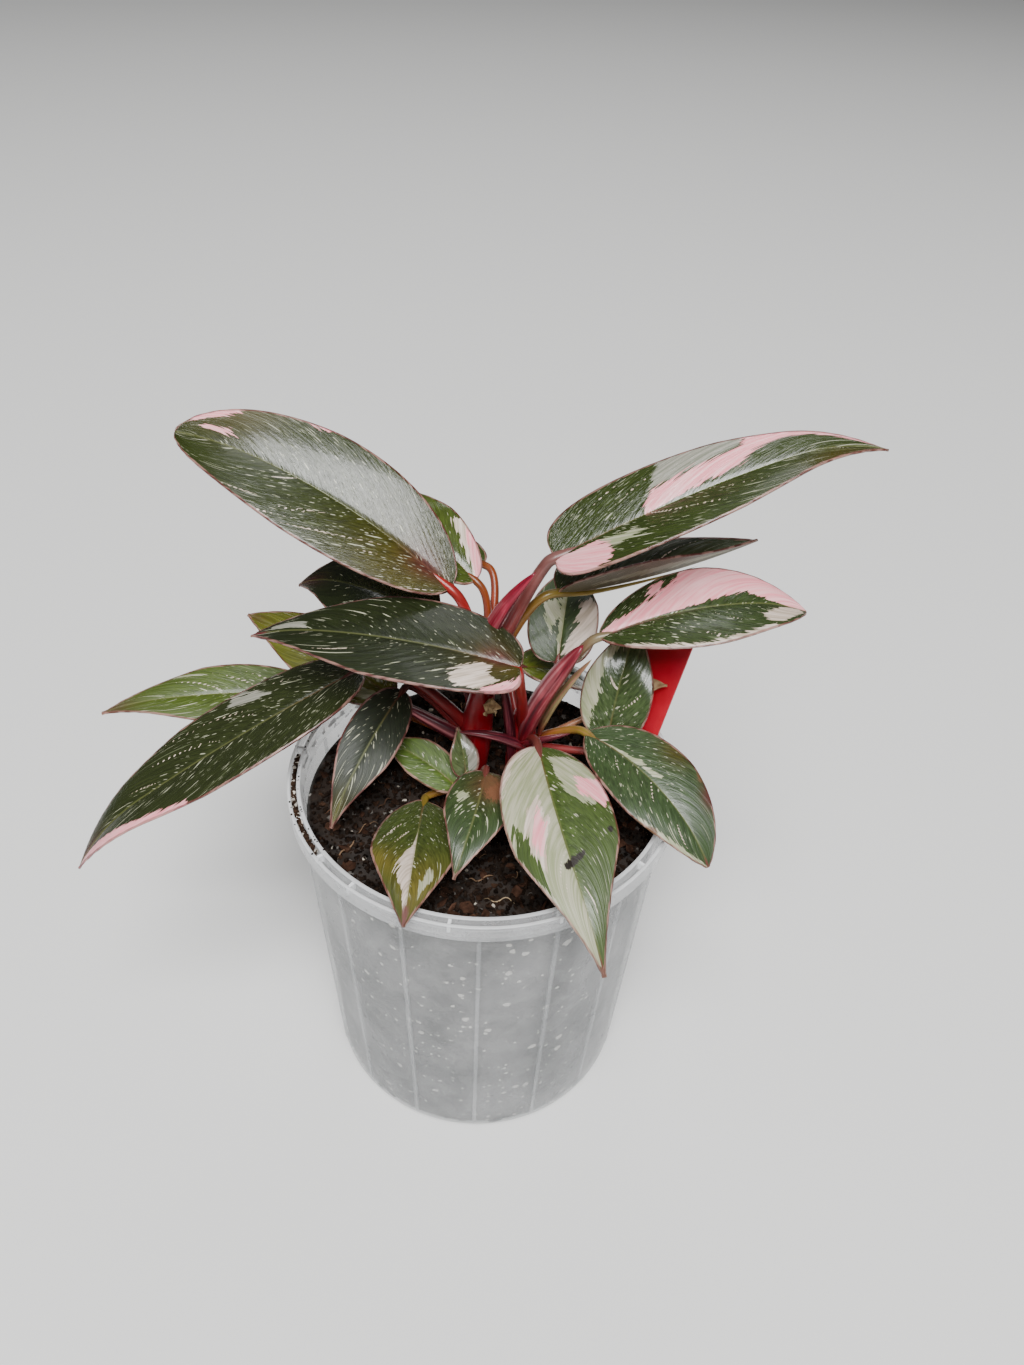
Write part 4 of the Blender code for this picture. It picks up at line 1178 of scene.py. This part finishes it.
def strew(bm, draw, count, small, large, colour, flat, find_place):
    """Adds a count of crumbs, from small to large and flattened, at places that find_place gives for their size.

    They are made a handful at a time, because a small bmesh is quick to work on.
    """
    for start in range(0, count, CRUMBS_AT_ONCE):
        few, (tone, _) = new_bmesh(("tone",), ("wall",))
        for _ in range(min(CRUMBS_AT_ONCE, count - start)):
            size = draw.uniform(small, large)
            middle = Vector(find_place(size)) * MM
            turn = draw.uniform(0, 2 * math.pi)
            turn = Matrix.Rotation(turn, 4, Vector((draw.uniform(-1, 1), draw.uniform(-1, 1), 1)))
            shape = Matrix.Translation(middle) @ turn @ Matrix.Diagonal((size * MM, size * MM, size * flat * MM, 1))
            shade = draw.uniform(0.6, 1.3)
            for vertex in bmesh.ops.create_icosphere(few, subdivisions=1, radius=1.0, matrix=shape)["verts"]:
                vertex[tone] = (*(Vector(colour) * shade), 1.0)
                vertex.co = middle + (vertex.co - middle) * draw.uniform(0.5, 1.25)
        mesh = bpy.data.meshes.new("handful")
        few.to_mesh(mesh)
        few.free()
        bm.from_mesh(mesh)
        bpy.data.meshes.remove(mesh)


def add_roots(bm, draw, reach):
    """Thin roots and fibres that lie about on the soil, one of them a pale one near the front."""
    any_way = (0, 2 * math.pi)
    roots = [(0.8, -40.5, 10, (0.38, 0.28, 0.17), (-0.6, 0.2))]
    for _ in range(ROOT_COUNT):
        x, y = on_ring(draw.uniform(*any_way), reach * math.sqrt(draw.random()))
        colour = draw.choice(((0.10, 0.05, 0.03), (0.16, 0.10, 0.06), (0.05, 0.028, 0.018)))
        roots.append((x, y, draw.uniform(4, 9), colour, any_way))
    for x, y, length, colour, headings in roots:
        heading = draw.uniform(*headings)
        path = []
        for step in range(ROOT_STEPS + 1):
            path.append(Vector((x, y, soil_height(x, y) + 0.9 + 0.5 * math.sin(step * 0.8))))
            heading += draw.uniform(-0.5, 0.5)
            x += math.cos(heading) * length / ROOT_STEPS
            y += math.sin(heading) * length / ROOT_STEPS
        thick = draw.uniform(0.14, 0.3)
        radii = [thick * (1 - (2 * step / ROOT_STEPS - 1) ** 4) for step in range(ROOT_STEPS + 1)]
        sweep(bm, path, radii, [colour] * (ROOT_STEPS + 1), sides=6)


def build_spill(material):
    """Soil spilled in the left of the rim's channel, and crumbs on the rim."""
    bm, _ = new_bmesh(("tone",), ("wall",))
    draw = random.Random(11)

    def in_channel(size):
        angle = math.radians(draw.uniform(-185, -144))
        x, y = on_ring(angle, draw.uniform(POT_NECK_RADIUS + 0.5, POT_RIM_RADIUS - WALL - 0.5))
        return x, y, draw.uniform(CHANNEL_FLOOR + 0.3, POT_HEIGHT - 0.7)

    def on_rim(size):
        angle = math.radians(draw.uniform(-195, -140))
        x, y = on_ring(angle, draw.choice((LIP_RADIUS + 0.6, POT_RIM_RADIUS - 0.5)) + draw.uniform(-0.3, 0.3))
        return x, y, POT_HEIGHT + size * 0.4

    strew(bm, draw, 620, 0.3, 0.75, (0.035, 0.020, 0.013), 0.8, in_channel)
    strew(bm, draw, 90, 0.45, 0.8, (0.5, 0.46, 0.4), 0.8, in_channel)
    strew(bm, draw, 30, 0.15, 0.4, SOIL_BROWN, 0.8, on_rim)
    return to_object("spilled_soil", bm, [material], smooth=False)


def build_label(material):
    """A blank stake label with rounded corners and edges."""
    up = (LABEL_HEAD - LABEL_FOOT).normalized()
    across = (LABEL_ACROSS - up * LABEL_ACROSS.dot(up)).normalized()
    axes = Matrix((across, up, across.cross(up))).transposed()
    height = (LABEL_HEAD - LABEL_FOOT).length
    corners = ((0, 0), (LABEL_FOOT_WIDTH / 2, LABEL_POINT), (LABEL_WIDTH / 2, height), (-LABEL_WIDTH / 2, height),
               (-LABEL_FOOT_WIDTH / 2, LABEL_POINT))
    bm = bmesh.new()
    verts = [bm.verts.new((x * MM, y * MM, -LABEL_THICKNESS / 2 * MM)) for x, y in corners]
    bm.faces.new(verts)
    bmesh.ops.bevel(bm, geom=verts, offset=1.2 * MM, segments=5, profile=0.5, affect="VERTICES", material=-1)
    made = bmesh.ops.extrude_face_region(bm, geom=list(bm.faces))["geom"]
    lifted = [item for item in made if isinstance(item, bmesh.types.BMVert)]
    bmesh.ops.translate(bm, verts=lifted, vec=(0, 0, LABEL_THICKNESS * MM))
    bmesh.ops.recalc_face_normals(bm, faces=bm.faces)
    rim = [edge for edge in bm.edges if edge.calc_face_angle(0) > 1]
    bmesh.ops.bevel(bm, geom=rim, offset=0.15 * MM, segments=2, profile=0.5, affect="EDGES", material=-1)
    bmesh.ops.transform(bm, matrix=Matrix.Translation(LABEL_FOOT * MM) @ axes.to_4x4(), verts=bm.verts)
    return sharpened(to_object("label_fine", bm, [material]))


def build_shred(material):
    """A dry, curled scrap of an old sheath between the stems."""
    bm = bmesh.new()
    bmesh.ops.create_grid(bm, x_segments=24, y_segments=16, size=1.0)
    for vertex in bm.verts:
        across, along = vertex.co.x, vertex.co.y
        width = SHRED_HALF_WIDTH * (1 - 0.55 * along * along) * (0.8 + 0.3 * math.sin(5 * along))
        crumple = Vector((noise.noise(vertex.co * 2.0), noise.noise(vertex.co * 2.3 + UP), 0)) * 1.2
        curl = 1.4 * across * across
        place = SHRED_MIDDLE + Vector((width * across, -curl - 1.0 * along, SHRED_HALF_LENGTH * along))
        vertex.co = (place + crumple) * MM
    return thicken(to_object("dry_shred", bm, [material]), 0.25)


def build_floor():
    bm = bmesh.new()
    bmesh.ops.create_grid(bm, x_segments=1, y_segments=1, size=6.0)
    pale = Look("pale_floor").shaded(Base_Color=(0.84, 0.84, 0.83, 1.0), Roughness=0.6)
    floor = to_object("floor", bm, [pale], smooth=False)


def aim_camera():
    """The photograph's camera: above the near side of the pot, looking down on it."""
    data = bpy.data.cameras.new("camera")
    data.lens = CAMERA_LENS
    data.sensor_width = CAMERA_SENSOR
    camera = in_scene("camera", data)
    camera.matrix_world = Matrix.Translation(CAMERA_PLACE * MM)
    for degrees, axis in ((-CAMERA_RIGHT_DEG, "Z"), (90 - CAMERA_DOWN_DEG, "X"), (CAMERA_ROLL_DEG, "Z")):
        camera.matrix_world @= Matrix.Rotation(math.radians(degrees), 4, axis)
    bpy.context.scene.camera = camera


def add_softbox(name, azimuth_deg, height_deg, width, height, power):
    """A soft rectangular light facing the plant, seen at an azimuth, 0 along +Y, and a height above the horizon."""
    data = bpy.data.lights.new(name, "AREA")
    data.shape = "RECTANGLE"
    data.size, data.size_y = width, height
    data.energy = power
    azimuth, rise = math.radians(azimuth_deg), math.radians(height_deg)
    toward = Vector((math.sin(azimuth) * math.cos(rise), math.cos(azimuth) * math.cos(rise), math.sin(rise)))
    light = in_scene(name, data)
    light.location = LIT_POINT + toward * LIGHT_AWAY
    light.rotation_euler = (-toward).to_track_quat("-Z", "Y").to_euler()


def light_studio():
    """A softbox over the camera, mirrored by the top left leaf, a dimmer one behind, and a dim white room."""
    world = bpy.data.worlds.new("studio")
    world.use_nodes = True
    room = world.node_tree.nodes["Background"].inputs
    room["Color"].default_value = (1.0, 1.0, 1.0, 1.0)
    room["Strength"].default_value = ROOM_LIGHT
    bpy.context.scene.world = world
    add_softbox("softbox_over_camera", 180, 60, 1.6, 1.85, 185)
    add_softbox("softbox_behind", 4, 55, 0.9, 0.9, 9)


def main():
    groups = {"marbling": marbling_group(), "lines": blade_lines_group(), "relief": blade_relief_group()}
    leaf_top, leaf_under = leaf_top_material(groups), leaf_under_material(groups)
    dry = dry_material()
    slots = {part["node"]: part["material_slot"] for part in frame["record"]["subparts"]}
    for index, leaf in enumerate(LEAVES):
        faces = (dry, dry) if leaf.name == "leaf_dry" else (leaf_top, leaf_under)
        fit(build_blade(leaf, index, *faces), slots[leaf.name], leaf.name)
    stalk = stalk_material()
    for key, shoot in SHOOTS.items():
        fit(build_shoot(key, stalk), slots[shoot.name], shoot.name)
    soil = soil_material()
    fit(build_pot(pot_material()), slots["pot"], "pot")
    fit(build_soil(soil), slots["soil"], "soil")
    fit(build_spill(soil), slots["soil"])
    fit(build_label(label_material()), slots["label"], "label")
    fit(build_shred(dry), "dry_blade")
    build_floor()
    aim_camera()
    light_studio()


main()
